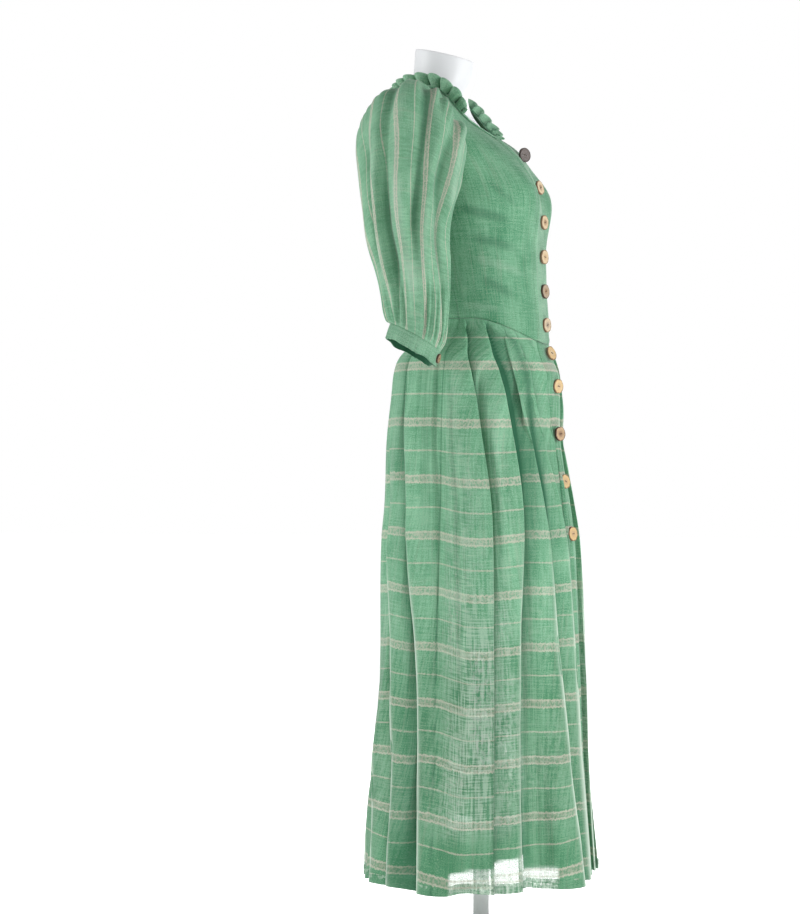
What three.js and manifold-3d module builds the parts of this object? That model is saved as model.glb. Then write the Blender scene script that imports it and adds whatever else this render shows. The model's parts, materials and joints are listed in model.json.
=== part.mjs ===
// A green linen dirndl on a limbless dress form with a round stand.
//
// Frame: millimetres, +Z up. The wearer faces -Y and the wearer's right hand is at -X.
// The origin is the centre of the stand's underside, on the floor.
//
// Every cloth piece is a thin closed wall. The bodice and the skirt are each lofted once, all
// round, and are then cut along their real seams, so that neighbouring pieces keep a seam gap.

import * as THREE from 'three';
import { mergeVertices } from 'three/addons/utils/BufferGeometryUtils.js';
import Module from 'manifold-3d';

const wasm = await Module();
wasm.setup();

// ---- Driving dimensions -------------------------------------------------------------------

const CLOTH = 2; // wall of the linen, seam allowances included
const TRIM = 1.6; // wall of the band, placket and binding that lie on the panels
const SEAM_GAP = 0.3; // between neighbouring pieces
const FORM_GAP = 5.5; // between the cloth's inside and the dress form

const WAIST_Z = 985; // waist seam at the sides and back
const WAIST_DIP = 36; // how far the waist seam dips at the centre front
const HEM_Z = 120;
const BODICE_TOP = 1350; // loft ends here, inside the neck opening

const CLOSURE_X = -20; // line of the buttons: the dress sits a little twisted on the form
const BAND_INNER = 33; // from the button line to the band's sewn edge
const BAND_OUTER = 17; // from the button line to the band's free edge
const UNDERLAP = 17; // the left front reaches this far under the band

// The neck opening in plan; low is where its cut stops, above the back of the bodice.
const NECK = { half: 95, mid: 30, front: 92, back: 88, low: 1215, point: 1.15, binding: 8 };
// The armhole from the side; cutFrom is where its cut starts, out from the centre plane.
const ARMHOLE = {
  mid: 52, height: 1248, halfDepth: 56, halfHeight: 80, nearest: 137, cutFrom: 95, sides: 22,
};
const BUST = { x: 78, z: 1184, lift: 17, across: 45, above: 40, below: 50 };

// The frill ends at these y values. It shrinks to endHeight over the taper share of its length,
// its foot waves by the foot share of its wave, and seat clears the binding's facets.
const FRILL = { height: 14, endHeight: 8, taper: 0.1, seat: 0.8, rightEnd: 8, leftEnd: -12 };
const FRILL_WAVE = { reach: 5, pitch: 15, samples: 4, foot: 0.35 };
const CUFF_WIDTH = 23;
const BUTTON = { radius: 11.5, thick: 3.6, bevel: 0.8, sides: 16 };
const CUFF_BUTTON = { radius: 7.5, thick: 3, bevel: 0.6, sides: 14 };

const FORM_BOTTOM = { z: 622, mid: 14 };
// The neck's flat top is tilt higher behind than in its middle, and as much lower in front. The
// neck is bare from bareFrom to bareTo upwards, where it leaves the inside of the cloth.
const FORM_NECK = { top: 1407, mid: 57, half: 47, tilt: 11, bareFrom: 1345, bareTo: 1372 };
const POLE = { radius: 12.5, sides: 24 };
const BASE = { radius: 170, thick: 8, bevel: 3, sides: 64 };

const FAR = 400; // beyond every piece of cloth, sideways
const CUT_TOP = 1460; // above every piece of cloth

// The figure's horizontal sections: half width, y of the widest line, of the front and of the
// back, and how square the section is (2 is an ellipse).
const FIGURE = [
  { z: 610, half: 150, mid: 14, front: -84, back: 112, round: 2.2 },
  { z: 700, half: 161, mid: 14, front: -94, back: 122, round: 2.2 },
  { z: 800, half: 159, mid: 9, front: -99, back: 119, round: 2.2 },
  { z: 880, half: 148, mid: 1, front: -102, back: 105, round: 2.2 },
  { z: 940, half: 136, mid: -9, front: -105, back: 87, round: 2.3 },
  { z: 985, half: 132, mid: -13, front: -104, back: 79, round: 2.3 },
  { z: 1031, half: 133, mid: -7, front: -101, back: 84, round: 2.3 },
  { z: 1085, half: 137, mid: 0, front: -99, back: 97, round: 2.3 },
  { z: 1139, half: 144, mid: 9, front: -98.5, back: 113, round: 2.3 },
  { z: 1190, half: 152, mid: 20, front: -89, back: 125, round: 2.4 },
  { z: 1236, half: 160, mid: 32, front: -69, back: 132, round: 2.2 },
  { z: 1256, half: 164, mid: 38, front: -52, back: 133, round: 2.1 },
  { z: 1290, half: 170, mid: 50, front: -11, back: 132, round: 2 },
  { z: 1318, half: 165, mid: 58, front: 14, back: 129, round: 2 },
  { z: 1334, half: 130, mid: 61, front: 20, back: 125, round: 1.8 },
  { z: 1346, half: 92, mid: 62, front: 17, back: 120, round: 1.8 },
  { z: 1360, half: 60, mid: 61, front: 13, back: 113, round: 1.9 },
  { z: 1380, half: 50, mid: 59, front: 11, back: 108, round: 2 },
  { z: 1430, half: 47, mid: 57, front: 10, back: 104, round: 2 },
];

// The skirt's sections, through the middle of its folds.
const SKIRT = [
  { z: 985, half: 136, mid: -12, front: -106, back: 86, round: 2.2 },
  { z: 950, half: 145, mid: -4, front: -118, back: 108, round: 2.1 },
  { z: 918, half: 152, mid: 6, front: -122, back: 127, round: 2 },
  { z: 862, half: 160, mid: 8, front: -122, back: 133, round: 2 },
  { z: 800, half: 165, mid: 8, front: -123, back: 138, round: 2 },
  { z: 704, half: 173, mid: 1, front: -139, back: 140, round: 2 },
  { z: 633, half: 178, mid: 0, front: -148, back: 146, round: 2 },
  { z: 467, half: 186, mid: -4, front: -156, back: 147, round: 2 },
  { z: 325, half: 193, mid: -4, front: -161, back: 154, round: 2 },
  { z: 230, half: 198, mid: -2, front: -167, back: 165, round: 2 },
  { z: 120, half: 203, mid: 0, front: -176, back: 176, round: 2 },
];

// The skirt's folds. The first four columns are the angle of the fold's edge, in degrees round
// from the centre front towards the wearer's right, at the heights in FOLD_LEVELS. The next
// four are how far it stands out there. faces is 1 where the edge points to the front and -1
// where it points to the back; ramp is the fold's width behind its edge, in degrees.
const FOLD_LEVELS = [940, 760, 450, 120];
const FOLDS = [
  { waist: 30, hip: 20, knee: 14, hem: 9, d1: 5, d2: 8, d3: 10, d4: 11, faces: 1, ramp: 9 },
  { waist: 45, hip: 34, knee: 30, hem: 21, d1: 5, d2: 8, d3: 10, d4: 12, faces: 1, ramp: 9 },
  { waist: 59, hip: 43, knee: 42, hem: 40, d1: 5, d2: 4, d3: 1, d4: 2, faces: 1, ramp: 9 },
  { waist: 79, hip: 66, knee: 56, hem: 57, d1: 5, d2: 3, d3: 3, d4: 4, faces: 1, ramp: 12 },
  { waist: 131, hip: 127, knee: 115, hem: 108, d1: 7, d2: 8, d3: 8, d4: 10, faces: -1, ramp: 12 },
  { waist: 151, hip: 147, knee: 137, hem: 124, d1: 5, d2: 8, d3: 9, d4: 11, faces: -1, ramp: 9 },
  { waist: 170, hip: 166, knee: 159, hem: 143, d1: 5, d2: 7, d3: 9, d4: 12, faces: -1, ramp: 9 },
  { waist: 186, hip: 184, knee: 180, hem: 168, d1: 4, d2: 6, d3: 8, d4: 10, faces: -1, ramp: 9 },
  { waist: 201, hip: 202, knee: 203, hem: 196, d1: 5, d2: 7, d3: 8, d4: 9, faces: 1, ramp: 10 },
  { waist: 218, hip: 220, knee: 226, hem: 230, d1: 5, d2: 8, d3: 9, d4: 12, faces: 1, ramp: 9 },
  { waist: 238, hip: 241, knee: 248, hem: 254, d1: 6, d2: 7, d3: 9, d4: 10, faces: 1, ramp: 10 },
  { waist: 283, hip: 292, knee: 300, hem: 298, d1: 5, d2: 4, d3: 4, d4: 5, faces: -1, ramp: 12 },
  { waist: 302, hip: 315, knee: 318, hem: 321, d1: 5, d2: 5, d3: 3, d4: 3, faces: -1, ramp: 9 },
  { waist: 317, hip: 327, knee: 333, hem: 339, d1: 5, d2: 8, d3: 10, d4: 11, faces: -1, ramp: 9 },
  { waist: 333, hip: 342, knee: 350, hem: 353, d1: 5, d2: 7, d3: 8, d4: 8, faces: -1, ramp: 8 },
];
const FOLD_STEP = 3.4; // width of a fold's steep side, degrees
const FOLD_HOLLOW = 0.45; // depth of the hollow before a fold's steep side, as a share of the fold
const FOLD_START = 45; // the folds reach their depth this far below the waist seam
const SKIRT_START = 55; // the skirt leaves the figure's line over this height

// Front and back pieces meet along this line, seen from the side.
const SIDE_SEAM = [
  { z: 100, y: 31 },
  { z: 700, y: 27 },
  { z: 918, y: 24 },
  { z: 985, y: 7 },
  { z: 1168, y: 52 },
  { z: 1340, y: 55 },
  { z: 1460, y: 57 },
];

// The right sleeve's rings below the armhole. in and out are the ring's points next to the body
// and away from it; mid and half are its place and half depth along Y; rise lifts its back.
const SLEEVE = [
  { inX: 157, inZ: 1160, outX: 190, outZ: 1350, mid: 66, half: 68, rise: 0 },
  { inX: 160, inZ: 1148, outX: 226, outZ: 1342, mid: 66, half: 82, rise: 0 },
  { inX: 161, inZ: 1136, outX: 252, outZ: 1302, mid: 65, half: 80, rise: 0 },
  { inX: 160, inZ: 1120, outX: 264, outZ: 1246, mid: 65, half: 73, rise: 0 },
  { inX: 158, inZ: 1098, outX: 266, outZ: 1186, mid: 67, half: 66, rise: 0 },
  { inX: 156, inZ: 1064, outX: 262, outZ: 1122, mid: 67, half: 59, rise: 0 },
  { inX: 157, inZ: 1028, outX: 254, outZ: 1062, mid: 61, half: 54, rise: 2 },
  { inX: 160, inZ: 993, outX: 247, outZ: 1017, mid: 57, half: 49, rise: 6 },
  { inX: 165, inZ: 958, outX: 241, outZ: 978, mid: 57, half: 44, rise: 14 },
  { inX: 169, inZ: 944, outX: 238, outZ: 960, mid: 58, half: 38, rise: 20 },
];
const SLEEVE_HEAD = { clear: 0.4, inside: 1, outside: 1.5 }; // how it stands in the armhole
const CUFF_LEAN = { x: 0.15, y: 0.28, z: -0.94 }; // the way the cuff's opening points
// The left sleeve hangs flatter and further back, fully so beyond farX from the centre plane.
const LEFT_SLEEVE = { slim: 0.93, back: 8, mid: 66, nearX: 160, farX: 185 };

// Buttons down the front: height of each above the floor.
const BUTTON_HEIGHTS = [1242, 1192, 1139, 1085, 1031, 978.5, 931.5, 883, 808, 733, 652];

// ---- Materials ----------------------------------------------------------------------------

const linen = new THREE.MeshStandardMaterial({ color: 0x6fb48c, roughness: 0.9, metalness: 0 });
const horn = new THREE.MeshStandardMaterial({ color: 0xcdb083, roughness: 0.5, metalness: 0 });
const formWhite = new THREE.MeshStandardMaterial({ color: 0xeeeeef, roughness: 0.4, metalness: 0 });
const standWhite = new THREE.MeshStandardMaterial({ color: 0xe6e6e8, roughness: 0.35, metalness: 0.1 });

// ---- Curves and sections ------------------------------------------------------------------

const radians = THREE.MathUtils.degToRad;
const vec = (x, y, z) => new THREE.Vector3(x, y, z);
const signedPower = (value, power) => Math.sign(value) * Math.abs(value) ** power;

// Smooth reading of one column of a table at a height; rows run in either direction of z.
function reading(table, column, z) {
  const rows = table[0].z < table[table.length - 1].z ? table : [...table].reverse();
  const last = rows.length - 1;
  let k = 0;
  while (k < last - 1 && z > rows[k + 1].z) k += 1;
  const slope = (i, j) => (rows[j][column] - rows[i][column]) / (rows[j].z - rows[i].z);
  const start = slope(Math.max(k - 1, 0), k + 1);
  const end = slope(k, Math.min(k + 2, last));
  const span = rows[k + 1].z - rows[k].z;
  const f = THREE.MathUtils.clamp((z - rows[k].z) / span, 0, 1);
  return (
    rows[k][column] * (2 * f ** 3 - 3 * f ** 2 + 1) +
    start * span * (f ** 3 - 2 * f ** 2 + f) +
    rows[k + 1][column] * (3 * f ** 2 - 2 * f ** 3) +
    end * span * (f ** 3 - f ** 2)
  );
}

// The point of a section at an angle round from the centre front towards the wearer's right.
function sectionPoint(table, turn, z) {
  const power = 2 / reading(table, 'round', z);
  const mid = reading(table, 'mid', z);
  const along = signedPower(Math.cos(turn), power);
  const reach = along > 0 ? mid - reading(table, 'front', z) : reading(table, 'back', z) - mid;
  const x = -reading(table, 'half', z) * signedPower(Math.sin(turn), power);
  return vec(x, mid - reach * along, z);
}

// The cloth's outside on the figure: a section with the soft fullness of the bust.
function figurePoint(turn, z) {
  const p = sectionPoint(FIGURE, turn, z);
  if (Math.cos(turn) <= 0) return p;
  const up = (z - BUST.z) / (z > BUST.z ? BUST.above : BUST.below);
  const across = (Math.abs(p.x) - BUST.x) / BUST.across;
  const toFront = THREE.MathUtils.smoothstep(Math.cos(turn), 0, 0.5);
  p.y -= BUST.lift * Math.exp(-across * across - up * up) * toFront;
  return p;
}

// How far from the centre plane the figure's side lies, at a point seen from the side.
function sideReach(y, z) {
  const round = reading(FIGURE, 'round', z);
  const mid = reading(FIGURE, 'mid', z);
  const reach = y < mid ? mid - reading(FIGURE, 'front', z) : reading(FIGURE, 'back', z) - mid;
  const left = Math.max(1 - (Math.abs(y - mid) / reach) ** round, 0);
  return reading(FIGURE, 'half', z) * left ** (1 / round);
}

// Height of the figure's upper surface over a point in plan, found by halving between heights
// where the point is surely inside and surely outside.
function shoulderHeight(x, y) {
  let low = y > NECK.mid ? 1250 : 1180;
  let high = CUT_TOP;
  while (high - low > 0.01) {
    const z = (low + high) / 2;
    if (sideReach(y, z) > Math.abs(x)) low = z;
    else high = z;
  }
  return low;
}

const seamHeight = (turn) => WAIST_Z - WAIST_DIP * Math.max(Math.cos(turn), 0) ** 1.5;

// ---- Closed walls and cuts ----------------------------------------------------------------

// A closed body between two grids of points, outer[column][row] and inner[column][row].
// A loop joins its last column to its first.
function wallBetween(outer, inner, loop) {
  const columns = outer.length;
  const rows = outer[0].length;
  const points = [...outer.flat(), ...inner.flat()];
  const out = (i, j) => (i % columns) * rows + j;
  const back = (i, j) => columns * rows + out(i, j);
  const faces = [];
  const quad = (a, b, c, d) => faces.push(a, b, c, a, c, d);
  const spans = loop ? columns : columns - 1;
  for (let i = 0; i < spans; i += 1) {
    for (let j = 0; j < rows - 1; j += 1) {
      quad(out(i, j), out(i + 1, j), out(i + 1, j + 1), out(i, j + 1));
      quad(back(i, j), back(i, j + 1), back(i + 1, j + 1), back(i + 1, j));
    }
    quad(out(i, 0), back(i, 0), back(i + 1, 0), out(i + 1, 0));
    quad(out(i, rows - 1), out(i + 1, rows - 1), back(i + 1, rows - 1), back(i, rows - 1));
  }
  for (let j = 0; j < rows - 1 && !loop; j += 1) {
    const e = columns - 1;
    quad(out(0, j), out(0, j + 1), back(0, j + 1), back(0, j));
    quad(out(e, j), back(e, j), back(e, j + 1), out(e, j + 1));
  }
  return facingOut(points, faces);
}

// Geometry from points and faces, turned over if its volume comes out negative.
function facingOut(points, faces) {
  let volume = 0;
  for (let k = 0; k < faces.length; k += 3) {
    const [a, b, c] = [points[faces[k]], points[faces[k + 1]], points[faces[k + 2]]];
    volume += a.dot(vec(0, 0, 0).crossVectors(b, c));
  }
  if (volume < 0) faces.reverse();
  const geometry = new THREE.BufferGeometry();
  geometry.setAttribute('position', new THREE.Float32BufferAttribute(points.flatMap((p) => [...p]), 3));
  geometry.setIndex(faces);
  return geometry;
}

// Grids of a surface and of the same surface moved outwards along its own normals. Columns run
// from the front towards the wearer's right, and rows run downwards.
// place(i, j) gives the surface's point at fractional steps too, so normals can be taken. They
// are level along seamRow, so that the pieces above and below a seam meet squarely.
function movedGrids(place, columns, rows, distances, seamRow) {
  const step = 0.05;
  const grids = distances.map(() => []);
  for (let i = 0; i < columns; i += 1) {
    grids.forEach((grid) => grid.push([]));
    for (let j = 0; j < rows; j += 1) {
      const p = place(i, j);
      const across = place(i + step, j).sub(place(i - step, j));
      const j0 = Math.max(j - step, 0);
      const j1 = Math.min(j + step, rows - 1);
      const along = place(i, j1).sub(place(i, j0));
      const normal = across.cross(along).normalize();
      if (j === seamRow) normal.setZ(0).normalize();
      distances.forEach((d, k) => grids[k][i].push(p.clone().addScaledVector(normal, d)));
    }
  }
  return grids;
}

// The same surface as a wall: its outside lies lift beyond the surface, its inside thick below.
function wallOn(place, columns, rows, lift, thick, seamRow) {
  const [outer, inner] = movedGrids(place, columns, rows, [lift, lift - thick], seamRow);
  return wallBetween(outer, inner, true);
}

function toManifold(geometry) {
  const bare = geometry.clone();
  bare.deleteAttribute('normal');
  bare.deleteAttribute('uv');
  const merged = mergeVertices(bare, 1e-4);
  return new wasm.Manifold(
    new wasm.Mesh({
      numProp: 3,
      vertProperties: new Float32Array(merged.attributes.position.array),
      triVerts: new Uint32Array(merged.index.array),
    }),
  );
}

function toGeometry(solid) {
  const mesh = solid.getMesh();
  const geometry = new THREE.BufferGeometry();
  geometry.setAttribute('position', new THREE.BufferAttribute(new Float32Array(mesh.vertProperties), 3));
  geometry.setIndex(new THREE.BufferAttribute(new Uint32Array(mesh.triVerts), 1));
  return geometry;
}

// A solid block between two corners.
function block(low, high) {
  const size = high.clone().sub(low);
  const geometry = new THREE.BoxGeometry(size.x, size.y, size.z);
  const middle = low.clone().add(high).multiplyScalar(0.5);
  geometry.translate(middle.x, middle.y, middle.z);
  return toManifold(geometry);
}

// An outline in plan, [x, y] points, raised from one height to another.
function planPrism(outline, low, high) {
  const shape = new THREE.Shape(outline.map(([x, y]) => new THREE.Vector2(x, y)));
  const geometry = new THREE.ExtrudeGeometry(shape, { depth: high - low, bevelEnabled: false });
  geometry.translate(0, 0, low);
  return toManifold(geometry);
}

// An outline seen from the side, [y, z] points, drawn out from one x to another.
function sidePrism(outline, from, to) {
  const shape = new THREE.Shape(outline.map(([y, z]) => new THREE.Vector2(y, z)));
  const geometry = new THREE.ExtrudeGeometry(shape, { depth: to - from, bevelEnabled: false });
  const axes = new THREE.Matrix4().makeBasis(vec(0, 1, 0), vec(0, 0, 1), vec(1, 0, 0));
  geometry.applyMatrix4(axes);
  geometry.translate(from, 0, 0);
  return toManifold(geometry);
}

// ---- Cutting shapes -----------------------------------------------------------------------

// The neck opening in plan, widened by a margin: pointed in front, round behind.
function neckOutline(margin) {
  const steps = 14;
  const outline = [];
  for (let k = 0; k <= steps; k += 1) {
    const a = (k / steps) * Math.PI - Math.PI / 2;
    const front = a < 0;
    const half = (NECK.half + margin) * (front ? (Math.cos(a) ** 2) ** NECK.point : Math.cos(a));
    const reach = (front ? NECK.front : NECK.back) + margin;
    outline.push([half, NECK.mid + reach * Math.sin(a)]);
  }
  const other = outline.slice(1, -1).map(([x, y]) => [-x, y]);
  return [...outline, ...other.reverse()];
}

const neckOpening = (margin) => planPrism(neckOutline(margin), NECK.low, CUT_TOP);

// Everything in front of the side seams, or behind them, with half the seam gap taken off.
function sideOfSeam(front) {
  const way = front ? -1 : 1;
  const edge = SIDE_SEAM.map(({ z, y }) => [y + (way * SEAM_GAP) / 2, z]);
  const outline = [[way * FAR, SIDE_SEAM[0].z], ...edge, [way * FAR, CUT_TOP]];
  return sidePrism(outline, -FAR, FAR);
}

// Cuts an all-round shell at the side seams and at the left front's edge, under the band.
function cutPanels(shell) {
  const front = shell.intersect(sideOfSeam(true));
  const edge = CLOSURE_X - UNDERLAP;
  const toRight = block(vec(-FAR, -FAR, 0), vec(edge - SEAM_GAP / 2, FAR, CUT_TOP));
  const toLeft = block(vec(edge + SEAM_GAP / 2, -FAR, 0), vec(FAR, FAR, CUT_TOP));
  return {
    front_right: front.intersect(toRight),
    front_left: front.intersect(toLeft),
    back: shell.intersect(sideOfSeam(false)),
  };
}

// The slab between two values of x, in front of the side seams only.
const frontSlab = (from, to) => block(vec(from, -FAR, 0), vec(to, 0, CUT_TOP));

// A point of the armhole, seen from the side: an oval, drawn in where the figure's side comes
// nearer to the centre plane than ARMHOLE.nearest. margin shrinks it.
function armholePoint(angle, margin) {
  const at = (share, less) => [
    ARMHOLE.mid + (share * ARMHOLE.halfDepth - less) * Math.cos(angle),
    ARMHOLE.height + (share * ARMHOLE.halfHeight - less) * Math.sin(angle),
  ];
  let share = 1;
  while (sideReach(...at(share, 0)) < ARMHOLE.nearest) share -= 0.005;
  return at(share, margin);
}

function armholeCut(side) {
  const turns = Array.from({ length: ARMHOLE.sides }, (_, k) => (k / ARMHOLE.sides) * 2 * Math.PI);
  const outline = turns.map((a) => armholePoint(a, 0));
  const from = ARMHOLE.cutFrom;
  return side < 0 ? sidePrism(outline, -FAR, -from) : sidePrism(outline, from, FAR);
}

// ---- Bodice -------------------------------------------------------------------------------

const BODICE_COLUMNS = 40;
// Rows of the loft, as shares of the way down from the neck to the waist seam.
const BODICE_LEVELS = [0, 0.045, 0.085, 0.13, 0.19, 0.27, 0.36, 0.46, 0.58, 0.72, 0.86, 1];

const BODICE_ROWS = BODICE_LEVELS.length;

function bodicePlace(column, row) {
  const turn = (column / BODICE_COLUMNS) * 2 * Math.PI;
  const low = Math.floor(Math.min(row, BODICE_ROWS - 2));
  const level = THREE.MathUtils.lerp(BODICE_LEVELS[low], BODICE_LEVELS[low + 1], row - low);
  const bottom = seamHeight(turn) + SEAM_GAP / 2;
  return figurePoint(turn, BODICE_TOP + (bottom - BODICE_TOP) * level);
}

const bodiceLoft = (lift, thick) =>
  toManifold(wallOn(bodicePlace, BODICE_COLUMNS, BODICE_ROWS, lift, thick, BODICE_ROWS - 1));

function bodiceShell() {
  return bodiceLoft(0, CLOTH)
    .subtract(neckOpening(0))
    .subtract(armholeCut(-1))
    .subtract(armholeCut(1));
}

// The band with the buttonholes: sewn to the right front, it laps over the left front's edge.
function bodiceBand() {
  return bodiceLoft(SEAM_GAP + TRIM, TRIM)
    .intersect(frontSlab(CLOSURE_X - BAND_INNER, CLOSURE_X + BAND_OUTER))
    .subtract(neckOpening(0));
}

// The narrow binding round the neck, from one side of the band to the other.
function neckBinding() {
  const ring = neckOpening(NECK.binding).subtract(neckOpening(0));
  const besideBand = frontSlab(CLOSURE_X - BAND_INNER - SEAM_GAP, CLOSURE_X + BAND_OUTER + SEAM_GAP);
  return bodiceLoft(SEAM_GAP + TRIM, TRIM).intersect(ring).subtract(besideBand);
}

// ---- Frill --------------------------------------------------------------------------------

// Height of the binding's own upper face over a point in plan.
const bindingFace = new THREE.Mesh(toGeometry(bodiceLoft(SEAM_GAP + TRIM, TRIM)));
function bindingTop(x, y) {
  const down = new THREE.Raycaster(vec(x, y, CUT_TOP), vec(0, 0, -1));
  return down.intersectObject(bindingFace)[0].point.z;
}

// The line the frill is sewn to, from the right front round the back to the left front.
function frillLine() {
  const ring = new THREE.CatmullRomCurve3(
    neckOutline(NECK.binding / 2).map(([x, y]) => vec(x, y, shoulderHeight(x, y))),
    true,
  );
  const count = 100;
  const points = ring.getSpacedPoints(count).slice(0, count);
  const before = (k) => points[(k + count - 1) % count];
  const start = points.findIndex(
    (p, k) => p.x < 0 && p.y < FRILL.rightEnd && before(k).y >= FRILL.rightEnd,
  );
  const kept = [];
  for (let k = 0; k < count; k += 1) {
    const p = points[(start - k + count) % count];
    if (p.x > 0 && p.y < FRILL.leftEnd) break;
    kept.push(p);
  }
  return new THREE.CatmullRomCurve3(kept);
}

// A gathered strip standing on the binding, waved from side to side more at its top.
function neckFrill() {
  const line = frillLine();
  const { reach, pitch, samples, foot } = FRILL_WAVE;
  const count = Math.round(line.getLength() / pitch) * samples;
  const levels = [0, 1];
  const outer = [];
  const inner = [];
  for (let k = 0; k <= count; k += 1) {
    const p = line.getPointAt(k / count);
    p.z = bindingTop(p.x, p.y);
    const run = line.getTangentAt(k / count);
    const up = standingDirection(p);
    const out = vec(0, 0, 0).crossVectors(up, run).normalize();
    const wave = reach * Math.sin((k / samples) * 2 * Math.PI);
    const fromEnd = Math.min(k, count - k) / (count * FRILL.taper);
    const height = THREE.MathUtils.lerp(FRILL.endHeight, FRILL.height, Math.min(fromEnd, 1));
    const place = (level, thick) =>
      p
        .clone()
        .addScaledVector(up, SEAM_GAP + FRILL.seat + height * level)
        .addScaledVector(out, wave * THREE.MathUtils.lerp(foot, 1, level) + thick);
    outer.push(levels.map((level) => place(level, TRIM / 2)));
    inner.push(levels.map((level) => place(level, -TRIM / 2)));
  }
  return wallBetween(outer, inner, false);
}

// Straight out from the upper surface of the figure.
function standingDirection(p) {
  const h = 1;
  const slopeX = (shoulderHeight(p.x + h, p.y) - shoulderHeight(p.x - h, p.y)) / (2 * h);
  const slopeY = (shoulderHeight(p.x, p.y + h) - shoulderHeight(p.x, p.y - h)) / (2 * h);
  return vec(-slopeX, -slopeY, 1).normalize();
}

// ---- Sleeves ------------------------------------------------------------------------------

// A ring of the right sleeve, point by point from the back over the outside to the front.
function sleeveRing(row, angle) {
  const f = (1 + Math.sin(angle)) / 2;
  const x = -THREE.MathUtils.lerp(row.inX, row.outX, f);
  const z = THREE.MathUtils.lerp(row.inZ, row.outZ, f) + row.rise * Math.cos(angle);
  return vec(x, row.mid + row.half * Math.cos(angle), z);
}

// The sleeve's first two rings stand in the armhole, just inside its cut edge.
function armholeRing(angle, outward) {
  const [y, z] = armholePoint(angle, SLEEVE_HEAD.clear);
  return vec(-sideReach(y, z) - outward, y, z);
}

function sleevePlace(column, row) {
  const angle = (-column / ARMHOLE.sides) * 2 * Math.PI;
  const at = (k) => {
    if (k === 0) return armholeRing(angle, -SLEEVE_HEAD.inside);
    if (k === 1) return armholeRing(angle, SLEEVE_HEAD.outside);
    return sleeveRing(SLEEVE[k - 2], angle);
  };
  const low = Math.floor(Math.min(row, SLEEVE.length));
  return at(low).lerp(at(low + 1), row - low);
}

// Outer and inner points of a sleeve, on its own side.
function sleeveGrids(side) {
  const grids = movedGrids(sleevePlace, ARMHOLE.sides, SLEEVE.length + 2, [0, -CLOTH]);
  return grids.map((grid) => grid.map((column) => column.map((p) => toSide(p, side))));
}

// The left sleeve mirrors the right one, flatter and a little further back below its armhole.
function toSide(p, side) {
  if (side < 0) return p;
  const { slim, back, mid, nearX, farX } = LEFT_SLEEVE;
  const away = THREE.MathUtils.smoothstep(-p.x, nearX, farX);
  const hung = mid + (p.y - mid) * slim + back;
  return vec(-p.x, THREE.MathUtils.lerp(p.y, hung, away), p.z);
}

const sleeve = (side) => wallBetween(...sleeveGrids(side), true);

// The cuff carries the sleeve's last ring on, straight along its own lean.
function cuffGrids(side) {
  const lean = vec(side * CUFF_LEAN.x, CUFF_LEAN.y, CUFF_LEAN.z).normalize();
  const carry = (p, length) => p.clone().addScaledVector(lean, length);
  const ends = (p) => [carry(p, SEAM_GAP), carry(p, SEAM_GAP + CUFF_WIDTH)];
  return sleeveGrids(side).map((grid) => grid.map((column) => ends(column.at(-1))));
}

const cuff = (side) => wallBetween(...cuffGrids(side), true);

// ---- Skirt --------------------------------------------------------------------------------

const SKIRT_COLUMNS = 2 * BODICE_COLUMNS;
const SKIRT_LEVELS = [0, 0.04, 0.1, 0.2, 0.34, 0.52, 0.75, 1];

// Where a fold's edge is, and how far it stands out, at a height.
function foldAt(fold, names, z) {
  const table = FOLD_LEVELS.map((level, k) => ({ z: level, value: fold[names[k]] }));
  return reading(table, 'value', THREE.MathUtils.clamp(z, HEM_Z, FOLD_LEVELS[0]));
}

// One fold's shape across its edge: a slow rise behind it, then a steep drop into a hollow.
function foldShape(beyond, ramp) {
  if (beyond < 0) return Math.exp(-((beyond / ramp) ** 2));
  const drop = Math.exp(-((beyond / FOLD_STEP) ** 2));
  return (1 + FOLD_HOLLOW) * drop - FOLD_HOLLOW * Math.exp(-((beyond / ramp) ** 2));
}

function foldsHeight(turn, z) {
  const degrees = THREE.MathUtils.radToDeg(turn);
  let height = 0;
  for (const fold of FOLDS) {
    const edge = foldAt(fold, ['waist', 'hip', 'knee', 'hem'], z);
    const depth = foldAt(fold, ['d1', 'd2', 'd3', 'd4'], z);
    const apart = THREE.MathUtils.euclideanModulo(edge - degrees + 180, 360) - 180;
    height += depth * foldShape(fold.faces * apart, fold.ramp);
  }
  return height;
}

function skirtPoint(turn, z) {
  const below = seamHeight(turn) - z;
  const flare = THREE.MathUtils.smoothstep(below, 0, SKIRT_START);
  const p = figurePoint(turn, z).lerp(sectionPoint(SKIRT, turn, z), flare);
  const out = vec(p.x, p.y - reading(SKIRT, 'mid', z), 0).normalize();
  return p.addScaledVector(out, foldsHeight(turn, z) * THREE.MathUtils.smoothstep(below, 0, FOLD_START));
}

// The bodice's lower edge, which is straight between the bodice's columns.
function seamChord(turn) {
  const share = (turn / (2 * Math.PI)) * BODICE_COLUMNS;
  const edge = (k) => bodicePlace(k, BODICE_ROWS - 1);
  const p = edge(Math.floor(share)).lerp(edge(Math.floor(share) + 1), share - Math.floor(share));
  p.z -= SEAM_GAP;
  return p;
}

function skirtPlace(column, row) {
  const turn = (column / SKIRT_COLUMNS) * 2 * Math.PI;
  const at = (k) => {
    const top = seamHeight(turn) - SEAM_GAP / 2;
    return k === 0 ? seamChord(turn) : skirtPoint(turn, top + (HEM_Z - top) * SKIRT_LEVELS[k]);
  };
  const low = Math.floor(Math.min(row, SKIRT_LEVELS.length - 2));
  return at(low).lerp(at(low + 1), row - low);
}

const skirtLoft = (lift, thick) =>
  toManifold(wallOn(skirtPlace, SKIRT_COLUMNS, SKIRT_LEVELS.length, lift, thick, 0));

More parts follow.
